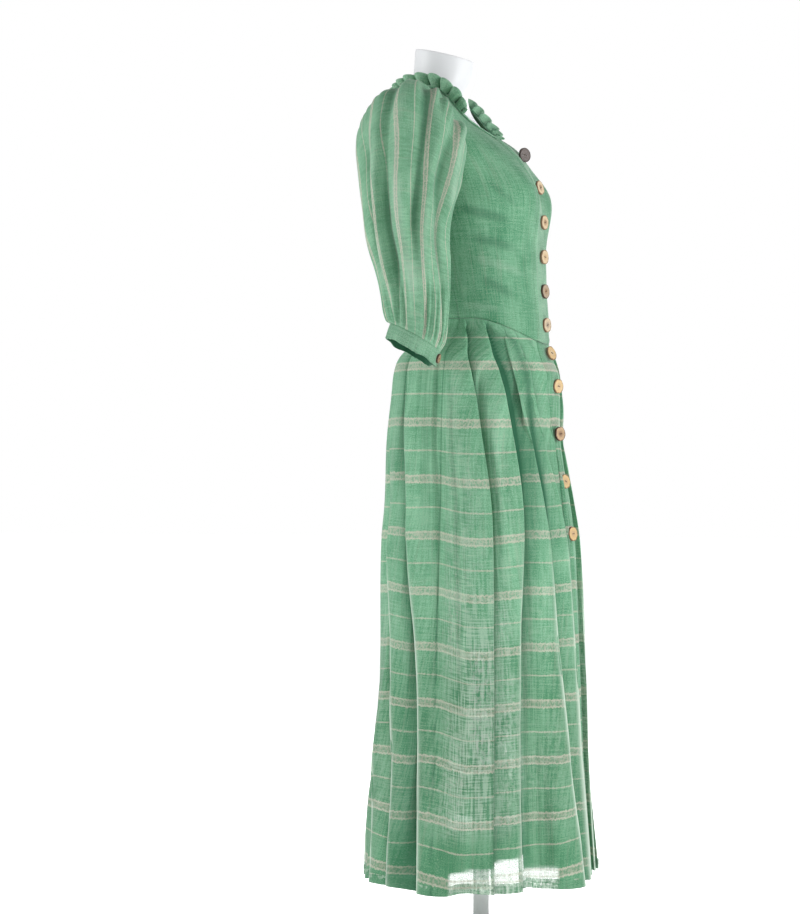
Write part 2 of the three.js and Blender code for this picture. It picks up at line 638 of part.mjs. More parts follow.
// The placket carries the band's line on down the whole skirt.
function skirtPlacket() {
  const strip = frontSlab(CLOSURE_X - BAND_INNER, CLOSURE_X + BAND_OUTER);
  return skirtLoft(SEAM_GAP + TRIM, TRIM).intersect(strip);
}

// ---- Buttons ------------------------------------------------------------------------------

// A round slice of antler, lying on z = 0.
function buttonShape({ radius, thick, bevel, sides }) {
  const profile = [
    new THREE.Vector2(0, 0),
    new THREE.Vector2(radius - bevel, 0),
    new THREE.Vector2(radius, bevel),
    new THREE.Vector2(radius, thick - bevel),
    new THREE.Vector2(radius - bevel, thick),
    new THREE.Vector2(0, thick),
  ];
  return new THREE.LatheGeometry(profile, sides).rotateX(Math.PI / 2);
}

// Lays a button on cloth: at a point, facing along a normal, SEAM_GAP over the cloth's highest
// point below its face.
function seated(shape, sizes, point, normal, cloth) {
  const face = new THREE.Mesh(cloth);
  const turned = new THREE.Quaternion().setFromUnitVectors(vec(0, 0, 1), normal);
  const reach = 30;
  let lift = -reach;
  for (const share of [0, 0.5, 1]) {
    for (let k = 0; k < 12; k += 1) {
      const a = (k / 12) * 2 * Math.PI;
      const over = vec(Math.cos(a), Math.sin(a), 0).multiplyScalar(share * sizes.radius);
      const from = over.applyQuaternion(turned).add(point).addScaledVector(normal, reach);
      const hit = new THREE.Raycaster(from, normal.clone().negate()).intersectObject(face)[0];
      if (hit) lift = Math.max(lift, reach - hit.distance);
    }
  }
  const mesh = new THREE.Mesh(shape, horn);
  mesh.quaternion.copy(turned);
  mesh.position.copy(point).addScaledVector(normal, lift + SEAM_GAP);
  return mesh;
}

// The angle round the front at which a surface crosses the button line, found by halving.
function closureTurn(surface, z) {
  let low = 0;
  let high = radians(40);
  while (high - low > 1e-5) {
    const turn = (low + high) / 2;
    if (surface(turn, z).x > CLOSURE_X) low = turn;
    else high = turn;
  }
  return low;
}

function frontButton(z, band, placket) {
  const onBodice = z > seamHeight(0) + BUTTON.radius;
  const surface = onBodice ? figurePoint : skirtPoint;
  const turn = closureTurn(surface, z);
  const beside = 0.07; // about a button's radius, as an angle
  const across = surface(turn + beside, z).sub(surface(turn - beside, z));
  const along = surface(turn, z + BUTTON.radius).sub(surface(turn, z - BUTTON.radius));
  const normal = along.cross(across).normalize();
  if (normal.y > 0) normal.negate();
  const cloth = onBodice ? band : placket;
  return seated(buttonShape(BUTTON), BUTTON, surface(turn, z), normal, cloth);
}

// The cuff's button sits at the front end of the cuff, half way down its width.
function cuffButton(side) {
  const [outer] = cuffGrids(side);
  const column = ARMHOLE.sides / 2;
  const point = outer[column][0].clone().lerp(outer[column][1], 0.5);
  const across = outer[column + 1][0].clone().sub(outer[column - 1][0]);
  const along = outer[column][1].clone().sub(outer[column][0]);
  const normal = across.cross(along).normalize();
  if (normal.y > 0) normal.negate();
  return seated(buttonShape(CUFF_BUTTON), CUFF_BUTTON, point, normal, cuff(side));
}

// ---- Dress form and stand -----------------------------------------------------------------

const FORM_COLUMNS = 44;
const FORM_LEVELS = [
  FORM_BOTTOM.z, 660, 710, 760, 810, 860, 905, 945, 985, 1025, 1065, 1100, 1132, 1160, 1185,
  1210, 1235, 1258, 1280, 1300, 1316, 1328, 1340, 1352, 1366, 1384, FORM_NECK.top,
];

// The form lies inside the cloth; its bare neck follows the figure itself.
function formPoint(turn, z) {
  const h = 0.02;
  const p = figurePoint(turn, z);
  const across = figurePoint(turn + h, z).sub(figurePoint(turn - h, z));
  const along = figurePoint(turn, z + 1).sub(figurePoint(turn, z - 1));
  const inward = across.cross(along).normalize();
  const bare = THREE.MathUtils.smoothstep(z, FORM_NECK.bareFrom, FORM_NECK.bareTo);
  return p.addScaledVector(inward, (CLOTH + FORM_GAP) * (1 - bare));
}

function dressForm() {
  const points = [];
  const faces = [];
  const rows = FORM_LEVELS.length;
  for (let i = 0; i < FORM_COLUMNS; i += 1) {
    for (let j = 0; j < rows; j += 1) {
      const p = formPoint((i / FORM_COLUMNS) * 2 * Math.PI, FORM_LEVELS[j]);
      if (j === rows - 1) p.z += (FORM_NECK.tilt * (p.y - FORM_NECK.mid)) / FORM_NECK.half;
      points.push(p);
    }
  }
  const at = (i, j) => (i % FORM_COLUMNS) * rows + j;
  const bottom = points.push(vec(0, FORM_BOTTOM.mid, FORM_BOTTOM.z)) - 1;
  const top = points.push(vec(0, FORM_NECK.mid, FORM_NECK.top)) - 1;
  for (let i = 0; i < FORM_COLUMNS; i += 1) {
    for (let j = 0; j < rows - 1; j += 1) {
      faces.push(at(i, j), at(i + 1, j), at(i + 1, j + 1));
      faces.push(at(i, j), at(i + 1, j + 1), at(i, j + 1));
    }
    faces.push(bottom, at(i + 1, 0), at(i, 0));
    faces.push(top, at(i, rows - 1), at(i + 1, rows - 1));
  }
  return facingOut(points, faces);
}

function standPole() {
  const low = BASE.thick + SEAM_GAP;
  const height = FORM_BOTTOM.z - SEAM_GAP - low;
  const pole = new THREE.CylinderGeometry(POLE.radius, POLE.radius, height, POLE.sides);
  return pole.rotateX(Math.PI / 2).translate(0, 0, low + height / 2);
}

function standBase() {
  const { radius, thick, bevel, sides } = BASE;
  const profile = [
    new THREE.Vector2(0, 0),
    new THREE.Vector2(radius, 0),
    new THREE.Vector2(radius, thick - bevel),
    new THREE.Vector2(radius - bevel, thick),
    new THREE.Vector2(0, thick),
  ];
  return new THREE.LatheGeometry(profile, sides).rotateX(Math.PI / 2);
}

// ---- Assembly -----------------------------------------------------------------------------

const dirndl = new THREE.Group();

function add(name, mesh) {
  mesh.name = name;
  dirndl.add(mesh);
}

const addCloth = (name, geometry) => add(name, new THREE.Mesh(geometry, linen.clone()));

for (const [garment, shell] of [['bodice', bodiceShell()], ['skirt', skirtLoft(0, CLOTH)]]) {
  for (const [panel, solid] of Object.entries(cutPanels(shell))) {
    addCloth(`${garment}_${panel}`, toGeometry(solid));
  }
}
const band = toGeometry(bodiceBand());
const placket = toGeometry(skirtPlacket());
addCloth('bodice_band', band);
addCloth('skirt_placket', placket);
addCloth('neck_binding', toGeometry(neckBinding()));
addCloth('neck_frill', neckFrill());
for (const [side, name] of [[-1, 'right'], [1, 'left']]) {
  addCloth(`sleeve_${name}`, sleeve(side));
  addCloth(`cuff_${name}`, cuff(side));
  add(`cuff_button_${name}`, cuffButton(side));
}
BUTTON_HEIGHTS.forEach((z, k) => add(`button_${k + 1}`, frontButton(z, band, placket)));
add('dress_form', new THREE.Mesh(dressForm(), formWhite));
add('stand_pole', new THREE.Mesh(standPole(), standWhite));
add('stand_base', new THREE.Mesh(standBase(), standWhite));

export default dirndl;
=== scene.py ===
"""A green linen dirndl on a limbless dress form with a round stand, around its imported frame.

Blender's metres and +Z up, in the frame's own axes: the wearer faces -Y, their right hand is at -X.
The tailor's tables below are in millimetres and degrees, and become metres when a mesh is made.
"""
import json
import math
from functools import partial

import bpy
import numpy as np
from mathutils import Matrix, Vector

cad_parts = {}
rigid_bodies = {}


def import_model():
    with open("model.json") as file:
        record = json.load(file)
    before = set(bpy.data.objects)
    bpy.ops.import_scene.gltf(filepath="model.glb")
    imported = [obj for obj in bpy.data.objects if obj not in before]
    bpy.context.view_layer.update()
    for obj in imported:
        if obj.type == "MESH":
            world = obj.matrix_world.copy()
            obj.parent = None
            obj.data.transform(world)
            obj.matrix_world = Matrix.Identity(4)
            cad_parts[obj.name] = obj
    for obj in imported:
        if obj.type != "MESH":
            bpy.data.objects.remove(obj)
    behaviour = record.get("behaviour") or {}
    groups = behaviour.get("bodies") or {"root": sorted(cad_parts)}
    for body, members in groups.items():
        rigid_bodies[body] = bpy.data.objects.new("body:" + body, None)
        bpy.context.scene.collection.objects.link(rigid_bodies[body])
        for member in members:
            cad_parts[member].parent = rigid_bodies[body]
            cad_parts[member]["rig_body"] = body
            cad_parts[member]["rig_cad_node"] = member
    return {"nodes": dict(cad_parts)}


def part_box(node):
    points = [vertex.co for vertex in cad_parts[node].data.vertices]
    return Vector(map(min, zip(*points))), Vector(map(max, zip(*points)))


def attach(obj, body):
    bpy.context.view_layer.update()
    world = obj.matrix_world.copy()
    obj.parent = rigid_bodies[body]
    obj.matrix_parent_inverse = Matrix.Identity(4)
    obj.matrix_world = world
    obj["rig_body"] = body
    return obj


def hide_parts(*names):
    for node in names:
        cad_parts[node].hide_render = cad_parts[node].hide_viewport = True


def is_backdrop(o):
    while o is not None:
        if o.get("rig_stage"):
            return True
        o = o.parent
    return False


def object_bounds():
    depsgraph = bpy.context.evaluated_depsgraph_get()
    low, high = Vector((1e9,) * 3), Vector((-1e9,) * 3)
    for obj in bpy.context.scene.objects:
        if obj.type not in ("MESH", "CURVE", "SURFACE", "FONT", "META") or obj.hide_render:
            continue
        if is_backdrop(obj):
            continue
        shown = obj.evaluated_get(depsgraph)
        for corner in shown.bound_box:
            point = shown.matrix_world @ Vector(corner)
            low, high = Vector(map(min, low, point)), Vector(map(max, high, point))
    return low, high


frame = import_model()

cad_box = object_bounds()


# ---- Camera, floor and light ----------------------------------------------------------------
# A level camera stands four metres from the dress, at its right side and a little to the front.
# The dress stands on a white floor in front of nothing, in the even light of large soft boxes.

CAMERA_TURN = math.radians(-78)
CAMERA_AWAY = 4.0
CAMERA_HEIGHT = 0.7725
CAMERA_SHIFT = -0.0886214  # as a share of the picture's longer side; the dress stands to its right
LENS = 99.7
AIM_HEIGHT = 0.8
FLOOR_SIZE = 40
ROOM_LIGHT, FLOOR_LIGHT, FLOOR_WHITE = 0.30, 0.45, 0.8

towards = Vector((-math.sin(CAMERA_TURN), math.cos(CAMERA_TURN), 0))
bpy.ops.object.camera_add(rotation=(math.pi / 2, 0, CAMERA_TURN))
camera = bpy.context.object
camera.location = Vector((0, 0, CAMERA_HEIGHT)) - towards * CAMERA_AWAY
camera.data.lens = LENS
camera.data.shift_x = CAMERA_SHIFT
bpy.context.scene.camera = camera
bpy.context.scene.view_settings.view_transform = "Standard"


def seen_as(tree, strength, elsewhere, by_camera):
    """Gives what glows one strength where the camera sees it and another for the light it sheds."""
    path, level = tree.nodes.new("ShaderNodeLightPath"), tree.nodes.new("ShaderNodeMapRange")
    level.inputs["To Min"].default_value = elsewhere
    level.inputs["To Max"].default_value = by_camera
    tree.links.new(path.outputs["Is Camera Ray"], level.inputs["Value"])
    tree.links.new(level.outputs[0], strength)


bpy.ops.object.select_all(action="DESELECT")
bpy.ops.mesh.primitive_plane_add(size=FLOOR_SIZE)
floor = bpy.context.object
floor.name = "floor"
floor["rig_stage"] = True
floor_paint = bpy.data.materials.new("floor_white")
floor_paint.use_nodes = True
matt = floor_paint.node_tree.nodes["Principled BSDF"].inputs
matt["Base Color"].default_value = (0.95, 0.95, 0.95, 1)
matt["Roughness"].default_value = 0.9
matt["Specular IOR Level"].default_value = 0.1
matt["Emission Color"].default_value = (1, 1, 1, 1)
seen_as(floor_paint.node_tree, matt["Emission Strength"], FLOOR_LIGHT, FLOOR_WHITE)
floor.data.materials.append(floor_paint)

world = bpy.data.worlds.new("studio")
bpy.context.scene.world = world
world.use_nodes = True
room = world.node_tree.nodes["Background"].inputs
room["Color"].default_value = (1, 1, 1, 1)
seen_as(world.node_tree, room["Strength"], ROOM_LIGHT, 1.0)


def soft_box(name, turn, away, height, size, power):
    """A large square lamp at a turn round the dress (0 in front of it), aimed at its middle."""
    place = Vector((-math.sin(turn) * away, -math.cos(turn) * away, height))
    aim = Vector((0, 0, AIM_HEIGHT)) - place
    bpy.ops.object.light_add(type="AREA", location=place)
    lamp = bpy.context.object
    lamp.name = name
    lamp.rotation_euler = aim.to_track_quat("-Z", "Y").to_euler()
    lamp.data.size = size
    lamp.data.energy = power
    lamp.visible_camera = False


soft_box("box_front", math.radians(10), 2.6, 1.5, 1.2, 52)
soft_box("box_side", math.radians(70), 4.4, 2.4, 1.6, 26)
soft_box("box_back", math.radians(156), 2.8, 1.6, 1.4, 52)
soft_box("box_far_side", math.radians(-90), 3.0, 1.3, 2.0, 60)


# ---- Stand ----------------------------------------------------------------------------------
# A round steel plate, 8 mm thick, with a steel tube screwed into it through a turned collar. Both
# are powder-coated white, and the tube ends in a second collar under the dress form.

POLE_SIDES = 64


class Socket:
    """An output of a material's node. Arithmetic adds Math nodes, and node() adds any other."""

    def __init__(self, tree, out=None):
        self.tree = tree
        self.out = out

    def node(self, kind, settings=None, inputs=None, out=0):
        made = self.tree.nodes.new("ShaderNode" + kind)
        for name, value in (settings or {}).items():
            setattr(made, name, value)
        for key, value in (inputs or {}).items():
            if isinstance(value, Socket):
                self.tree.links.new(value.out, made.inputs[key])
            elif isinstance(value, tuple) and len(value) == 3 and made.inputs[key].type == "RGBA":
                made.inputs[key].default_value = (*value, 1)
            else:
                made.inputs[key].default_value = value
        return Socket(self.tree, made.outputs[out]) if made.outputs else None

    def maths(self, operation, *others):
        return self.node("Math", {"operation": operation}, dict(enumerate((self, *others))))

    def __add__(self, other):
        return self.maths("ADD", other)

    def __sub__(self, other):
        return self.maths("SUBTRACT", other)

    def __rsub__(self, other):
        return self.node("Math", {"operation": "SUBTRACT"}, {0: other, 1: self})

    def __mul__(self, other):
        return self.maths("MULTIPLY", other)

    __radd__, __rmul__ = __add__, __mul__

    def clamped(self):
        return self.node("Clamp", None, {"Value": self})

    def between(self, low, high):
        """0 below low and 1 above high, with a smooth rise between them."""
        settings = {"interpolation_type": "SMOOTHSTEP"}
        inputs = {"Value": self, "From Min": low, "From Max": high}
        return self.node("MapRange", settings, inputs)

    def blend(self, first, second):
        """first where this socket is 0 and second where it is 1; either is a colour or a socket."""
        return self.node("Mix", {"data_type": "RGBA"}, {0: self, 6: first, 7: second}, out=2)

    def noise(self, vector, scale, detail=2.0):
        return self.node("TexNoise", None, {"Vector": vector, "Scale": scale, "Detail": detail})

    def stretched(self, vector, x, y):
        """A flat vector with each of its parts scaled, for a pattern longer one way."""
        return self.node("VectorMath", {"operation": "MULTIPLY"}, {0: vector, 1: (x, y, 1.0)})

    def bump(self, strength, depth):
        """This socket as the height of a bump, its depth in metres."""
        return self.node("Bump", None, {"Strength": strength, "Distance": depth, "Height": self})

    def surface(self, inputs):
        """Ends the material in one plain shader."""
        shader = self.node("BsdfPrincipled", None, inputs)
        self.node("OutputMaterial", None, {"Surface": shader})


def new_material(name):
    """A bare material and the socket that its nodes are built from."""
    material = bpy.data.materials.new(name)
    material.use_nodes = True
    material.node_tree.nodes.clear()
    return material, Socket(material.node_tree)


def coated_steel():
    """White powder coat: a fine orange-peel skin, a little glossy, dusty in patches."""
    material, shade = new_material("coated_steel")
    place = shade.node("TexCoord", out="Object")
    peel = shade.noise(place, 900, 1).bump(0.15, 0.0004)
    dust = shade.noise(place, 14, 4).between(0.35, 0.8)
    colour = dust.blend((0.80, 0.80, 0.82), (0.72, 0.72, 0.73))
    shade.surface({"Base Color": colour, "Roughness": dust * 0.2 + 0.32, "Normal": peel})
    return material


def deselect():
    bpy.ops.object.select_all(action="DESELECT")


def finish_piece(piece, name, material, slot_name, *nodes):
    """Names a finished piece, gives it its material and ties it to the frame."""
    piece.name = name
    piece.data.name = name
    piece.data.materials.clear()
    piece.data.materials.append(material)
    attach(piece, "root")
    if nodes:
        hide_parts(*nodes)


def apply_modifier(piece, kind, **settings):
    """Adds a modifier of a kind with settings and applies it at once."""
    modifier = piece.modifiers.new(kind.title(), kind)
    for name, value in settings.items():
        setattr(modifier, name, value)
    bpy.context.view_layer.objects.active = piece
    bpy.ops.object.modifier_apply(modifier=modifier.name)


def select_faces(piece, wanted):
    """In edit mode on return, with the faces selected whose middle and normal are wanted."""
    bpy.ops.object.mode_set(mode="EDIT")
    bpy.ops.mesh.select_mode(type="FACE")
    bpy.ops.mesh.select_all(action="DESELECT")
    bpy.ops.object.mode_set(mode="OBJECT")
    for face in piece.data.polygons:
        face.select = wanted(face.center, face.normal)
    bpy.ops.object.mode_set(mode="EDIT")


def round_bar(radius, low, high, bevel, sides=POLE_SIDES):
    """A round bar standing from one height to another, placed in its mesh, with soft edges."""
    deselect()
    bpy.ops.mesh.primitive_cylinder_add(
        vertices=sides, radius=radius, depth=high - low, location=(0, 0, (low + high) / 2)
    )
    bar = bpy.context.object
    bpy.ops.object.transform_apply(location=True, rotation=True, scale=True)
    apply_modifier(bar, "BEVEL", width=bevel, segments=3, limit_method="ANGLE")
    bpy.ops.object.shade_smooth_by_angle(angle=math.radians(40))
    return bar


steel = coated_steel()
base_low, base_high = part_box("stand_base")
pole_low, pole_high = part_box("stand_pole")
base_radius = (base_high.x - base_low.x) / 2
pole_radius = (pole_high.x - pole_low.x) / 2
COLLAR_RADIUS, COLLAR_HEIGHT = 0.024, 0.022

base = round_bar(base_radius, base_low.z, base_high.z, 0.003, sides=160)
select_faces(base, lambda middle, normal: normal.z > 0.9)
bpy.ops.mesh.inset(thickness=base_radius - COLLAR_RADIUS - 0.004)
bpy.ops.mesh.extrude_region_move(TRANSFORM_OT_translate={"value": (0, 0, 0.0012)})
bpy.ops.mesh.bevel(offset=0.0008, segments=2)
bpy.ops.object.mode_set(mode="OBJECT")
finish_piece(base, "base_plate", steel, "stand", "stand_base")

pole = round_bar(pole_radius, pole_low.z, pole_high.z, 0.0008)
finish_piece(pole, "pole", steel, "stand", "stand_pole")

for name, low, high in (
    ("foot_collar", base_high.z + 0.0015, base_high.z + COLLAR_HEIGHT),
    ("top_collar", pole_high.z - COLLAR_HEIGHT, pole_high.z - 0.0005),
):
    finish_piece(round_bar(COLLAR_RADIUS, low, high, 0.002), name, steel, "stand")


# ---- Dress form -----------------------------------------------------------------------------
# A limbless figure of moulded white plastic, with a matte skin. Its bare neck ends in a flat face,
# cut at a slant, with a crisp edge.

def moulded_white():
    """White moulded plastic, faintly cool, with a soft mottle and the finest of grain."""
    material, shade = new_material("moulded_white")
    place = shade.node("TexCoord", out="Object")
    mottle = shade.noise(place, 9, 3)
    grain = shade.noise(place, 1400, 1).bump(0.08, 0.0003)
    colour = mottle.blend((0.67, 0.685, 0.70), (0.71, 0.725, 0.74))
    shade.surface({"Base Color": colour, "Roughness": mottle * 0.1 + 0.45, "Normal": grain})
    return material


def pick(piece):
    """Leaves one piece selected and active."""
    deselect()
    piece.select_set(True)
    bpy.context.view_layer.objects.active = piece


def edit_all(piece, *steps):
    """Runs steps in edit mode on the whole of a piece."""
    pick(piece)
    bpy.ops.object.mode_set(mode="EDIT")
    bpy.ops.mesh.select_all(action="SELECT")
    for step in steps:
        step()
    bpy.ops.object.mode_set(mode="OBJECT")


def smoothed_copy(node):
    """A CAD node's shape as one smooth mesh of its own."""
    copy = frame["nodes"][node].copy()
    copy.data = copy.data.copy()
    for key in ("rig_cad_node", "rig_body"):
        if key in copy:
            del copy[key]
    copy.parent = None
    bpy.context.collection.objects.link(copy)
    join_seams = partial(bpy.ops.mesh.remove_doubles, threshold=0.00002)
    edit_all(copy, join_seams, bpy.ops.mesh.tris_convert_to_quads)
    return copy


form = smoothed_copy("dress_form")
neck_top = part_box("dress_form")[1].z
select_faces(form, lambda middle, normal: normal.z > 0.8 and middle.z > neck_top - 0.03)
bpy.ops.mesh.dissolve_faces()
for ring in (0.0015, 0.0015, 0.002):
    bpy.ops.mesh.inset(thickness=ring)
bpy.ops.object.mode_set(mode="OBJECT")
apply_modifier(form, "SUBSURF", levels=2, render_levels=2)
bpy.ops.object.shade_smooth()
finish_piece(form, "form", moulded_white(), "form_cover", "dress_form")


# ---- The garment's own shape ------------------------------------------------------------------
# The dress is cut to a woman's figure of about size 38, and its cloth is laid over these sections.
# Each row gives a height, half the width there, how far back the middle, the front and the back
# are, and how round (2) or square the section is.

def table(columns, rows):
    """The columns of a short table, by name."""
    return dict(zip(columns.split(), np.array(rows, float).T))


FIGURE = table("z half mid front back round", [
    (610, 150, 14, -84, 112, 2.2),
    (700, 161, 14, -94, 122, 2.2),
    (800, 159, 9, -99, 119, 2.2),
    (880, 148, 1, -102, 105, 2.2),
    (940, 136, -9, -105, 87, 2.3),
    (985, 132, -13, -104, 79, 2.3),
    (1031, 133, -7, -101, 84, 2.3),
    (1085, 137, 0, -99, 97, 2.3),
    (1139, 144, 9, -98.5, 113, 2.3),
    (1190, 152, 20, -89, 125, 2.4),
    (1236, 160, 32, -69, 132, 2.2),
    (1256, 164, 38, -52, 133, 2.1),
    (1290, 170, 50, -11, 132, 2),
    (1318, 165, 58, 14, 129, 2),
    (1334, 130, 61, 20, 125, 1.8),
    (1346, 92, 62, 17, 120, 1.8),
    (1360, 60, 61, 13, 113, 1.9),
])
SKIRT = table("z half mid front back round", [
    (985, 136, -12, -106, 86, 2.2),
    (950, 145, -4, -118, 108, 2.1),
    (918, 152, 6, -122, 127, 2),
    (862, 160, 8, -122, 133, 2),
    (800, 165, 8, -123, 138, 2),
    (704, 173, 1, -139, 140, 2),
    (633, 178, 0, -148, 146, 2),
    (467, 186, -4, -156, 147, 2),
    (325, 193, -4, -161, 154, 2),
    (230, 198, -2, -167, 165, 2),
    (120, 203, 0, -176, 176, 2),
])
# The side seam, and the bust's place, fullness and spread.
SIDE_SEAM = table("z y", [
    (100, 31), (700, 27), (918, 24), (985, 7), (1168, 52), (1340, 55), (1460, 57),
])
BUST_X, BUST_Z, BUST_LIFT, BUST_ACROSS, BUST_ABOVE, BUST_BELOW = 78, 1184, 17, 45, 40, 50
WAIST_Z, WAIST_DIP, HEM_Z = 985, 36, 120
# The button line lies to the wearer's right of the middle, with the band on both sides of it.
CLOSURE_X, BAND_INNER, BAND_OUTER, UNDERLAP = -20, 33, 17, 17
# The neck opening in plan: an oval, drawn to a point in front.
NECK_HALF, NECK_MID, NECK_FRONT, NECK_BACK, NECK_POINT = 95, 30, 92, 88, 1.15


def curve(x, y, at):
    """A smooth curve through values at places x, read at other places. A value may be an array."""
    if x[0] > x[-1]:
        x, y = x[::-1], y[::-1]
    deep = [1] * (y.ndim - 1)
    ends = np.diff(y, axis=0) / np.diff(x).reshape(-1, *deep)
    inner = (y[2:] - y[:-2]) / (x[2:] - x[:-2]).reshape(-1, *deep)
    slope = np.concatenate([ends[:1], inner, ends[-1:]])
    k = np.clip(np.searchsorted(x, at, side="right") - 1, 0, len(x) - 2)
    span = x[k + 1] - x[k]
    f = np.clip((at - x[k]) / span, 0, 1).reshape(*k.shape, *deep)
    span = span.reshape(f.shape)
    held = y[k] * (2 * f**3 - 3 * f**2 + 1) + y[k + 1] * (3 * f**2 - 2 * f**3)
    return held + span * (slope[k] * (f**3 - 2 * f**2 + f) + slope[k + 1] * (f**3 - f**2))


def reading(rows, column, z):
    """Smooth reading of a table's column at an array of heights."""
    return curve(rows["z"], rows[column], z)


def smooth(value, low, high):
    """0 below low, 1 above high and a smooth rise between them."""
    f = np.clip((value - low) / (high - low), 0, 1)
    return f * f * (3 - 2 * f)


def signed_power(value, power):
    return np.sign(value) * np.abs(value) ** power


def section(rows, turn, z):
    """Points of a table's sections, at a turn from the centre front to the wearer's right."""
    power = 2 / reading(rows, "round", z)
    mid = reading(rows, "mid", z)
    along = signed_power(np.cos(turn), power)
    reach = np.where(along > 0, mid - reading(rows, "front", z), reading(rows, "back", z) - mid)
    x = -reading(rows, "half", z) * signed_power(np.sin(turn), power)
    return np.stack(np.broadcast_arrays(x, mid - reach * along, z), -1)


def figure(turn, z):
    """The cloth's outside on the figure, with the soft fullness of the bust."""
    p = section(FIGURE, turn, z)
    up = (z - BUST_Z) / np.where(z > BUST_Z, BUST_ABOVE, BUST_BELOW)
    across = (np.abs(p[..., 0]) - BUST_X) / BUST_ACROSS
    lift = BUST_LIFT * np.exp(-across**2 - up**2) * smooth(np.cos(turn), 0, 0.5)
    p[..., 1] -= lift
    return p


def seam_height(turn):
    """Height of the waist seam, which dips at the centre front."""
    return WAIST_Z - WAIST_DIP * np.maximum(np.cos(turn), 0) ** 1.5


def normals_of(points, closed=False):
    """Outward normals of a grid of points, columns to the wearer's right and rows downwards."""
    if closed:
        across = np.roll(points, -1, 0) - np.roll(points, 1, 0)
    else:
        across = np.gradient(points, axis=0)
    down = np.gradient(points, axis=1)
    normal = np.cross(across, down)
    return normal / np.maximum(np.linalg.norm(normal, axis=-1, keepdims=True), 1e-9)


def new_piece(name, mesh):
    """A mesh as a piece of the dress."""
    piece = bpy.data.objects.new(name, mesh)
    bpy.context.collection.objects.link(piece)
    return piece


def cloth_mesh(name, points, cloth, closed=False, keep=None, marks=None):
    """A mesh through a grid of points in millimetres. cloth is each point's place in the flat
    cloth, in metres across and along the warp, keep says which points stay, and marks are values
    that the cloth's material reads."""
    columns, rows = points.shape[:2]
    i, j = np.mgrid[: columns if closed else columns - 1, : rows - 1]
    sides = [i * rows + j, (i + 1) * rows + j, (i + 1) * rows + j + 1, i * rows + j + 1]
    corners = np.stack(sides, -1).reshape(-1, 4).tolist()
    if closed:  # the flat cloth goes on by one more step, to the seam
        cloth = np.concatenate([cloth, 2 * cloth[-1:] - cloth[-2:-1]])
    if keep is not None:
        kept = keep.ravel()
        corners = [[k for k in face if kept[k]] for face in corners]
        corners = [face for face in corners if len(face) >= 3]
    faces = [[k % (columns * rows) for k in face] for face in corners]
    mesh = bpy.data.meshes.new(name)
    mesh.from_pydata((points.reshape(-1, 3) / 1000).tolist(), [], faces)
    layer = mesh.uv_layers.new(name="cloth")
    places = cloth.reshape(-1, 2)[np.concatenate(corners)]
    layer.data.foreach_set("uv", places.astype(np.float32).ravel())
    for word, values in (marks or {}).items():
        attribute = mesh.attributes.new(word, "FLOAT", "POINT")
        attribute.data.foreach_set("value", values.astype(np.float32).ravel())
    piece = new_piece(name, mesh)
    if keep is not None:
        edit_all(piece, bpy.ops.mesh.delete_loose)
    pick(piece)
    bpy.ops.object.shade_smooth()
    return piece


# ---- Skirt ----------------------------------------------------------------------------------
# Two fronts and a back of striped linen, laid in pleats of uneven width at the waist seam. Below
# it the pleats swing free and roll over at their edges, and the hem is turned up inside.

STRIPE_PITCH = 0.0847  # from one double stripe of the cloth to the next
THREADS = 5700  # the weave's ups and downs in radians a metre: about nine threads a centimetre
LIGHT_GREEN = (0.255, 0.535, 0.340)
DEEP_GREEN = (0.072, 0.285, 0.145)
FLAX = (0.47, 0.45, 0.385)
STRIPE_CREAM = (0.72, 0.60, 0.53)
STRIPE_DARK = (0.17, 0.27, 0.20)
LIT_EDGE = (0.80, 0.92, 0.80)
PAINTED_LIGHT_PALE_GREEN = (0.46, 0.92, 0.60)
PAINTED_SHADE_LOW_GREEN = (0.060, 0.180, 0.085)
PAINTED_SHADE_GREEN = (0.035, 0.150, 0.080)
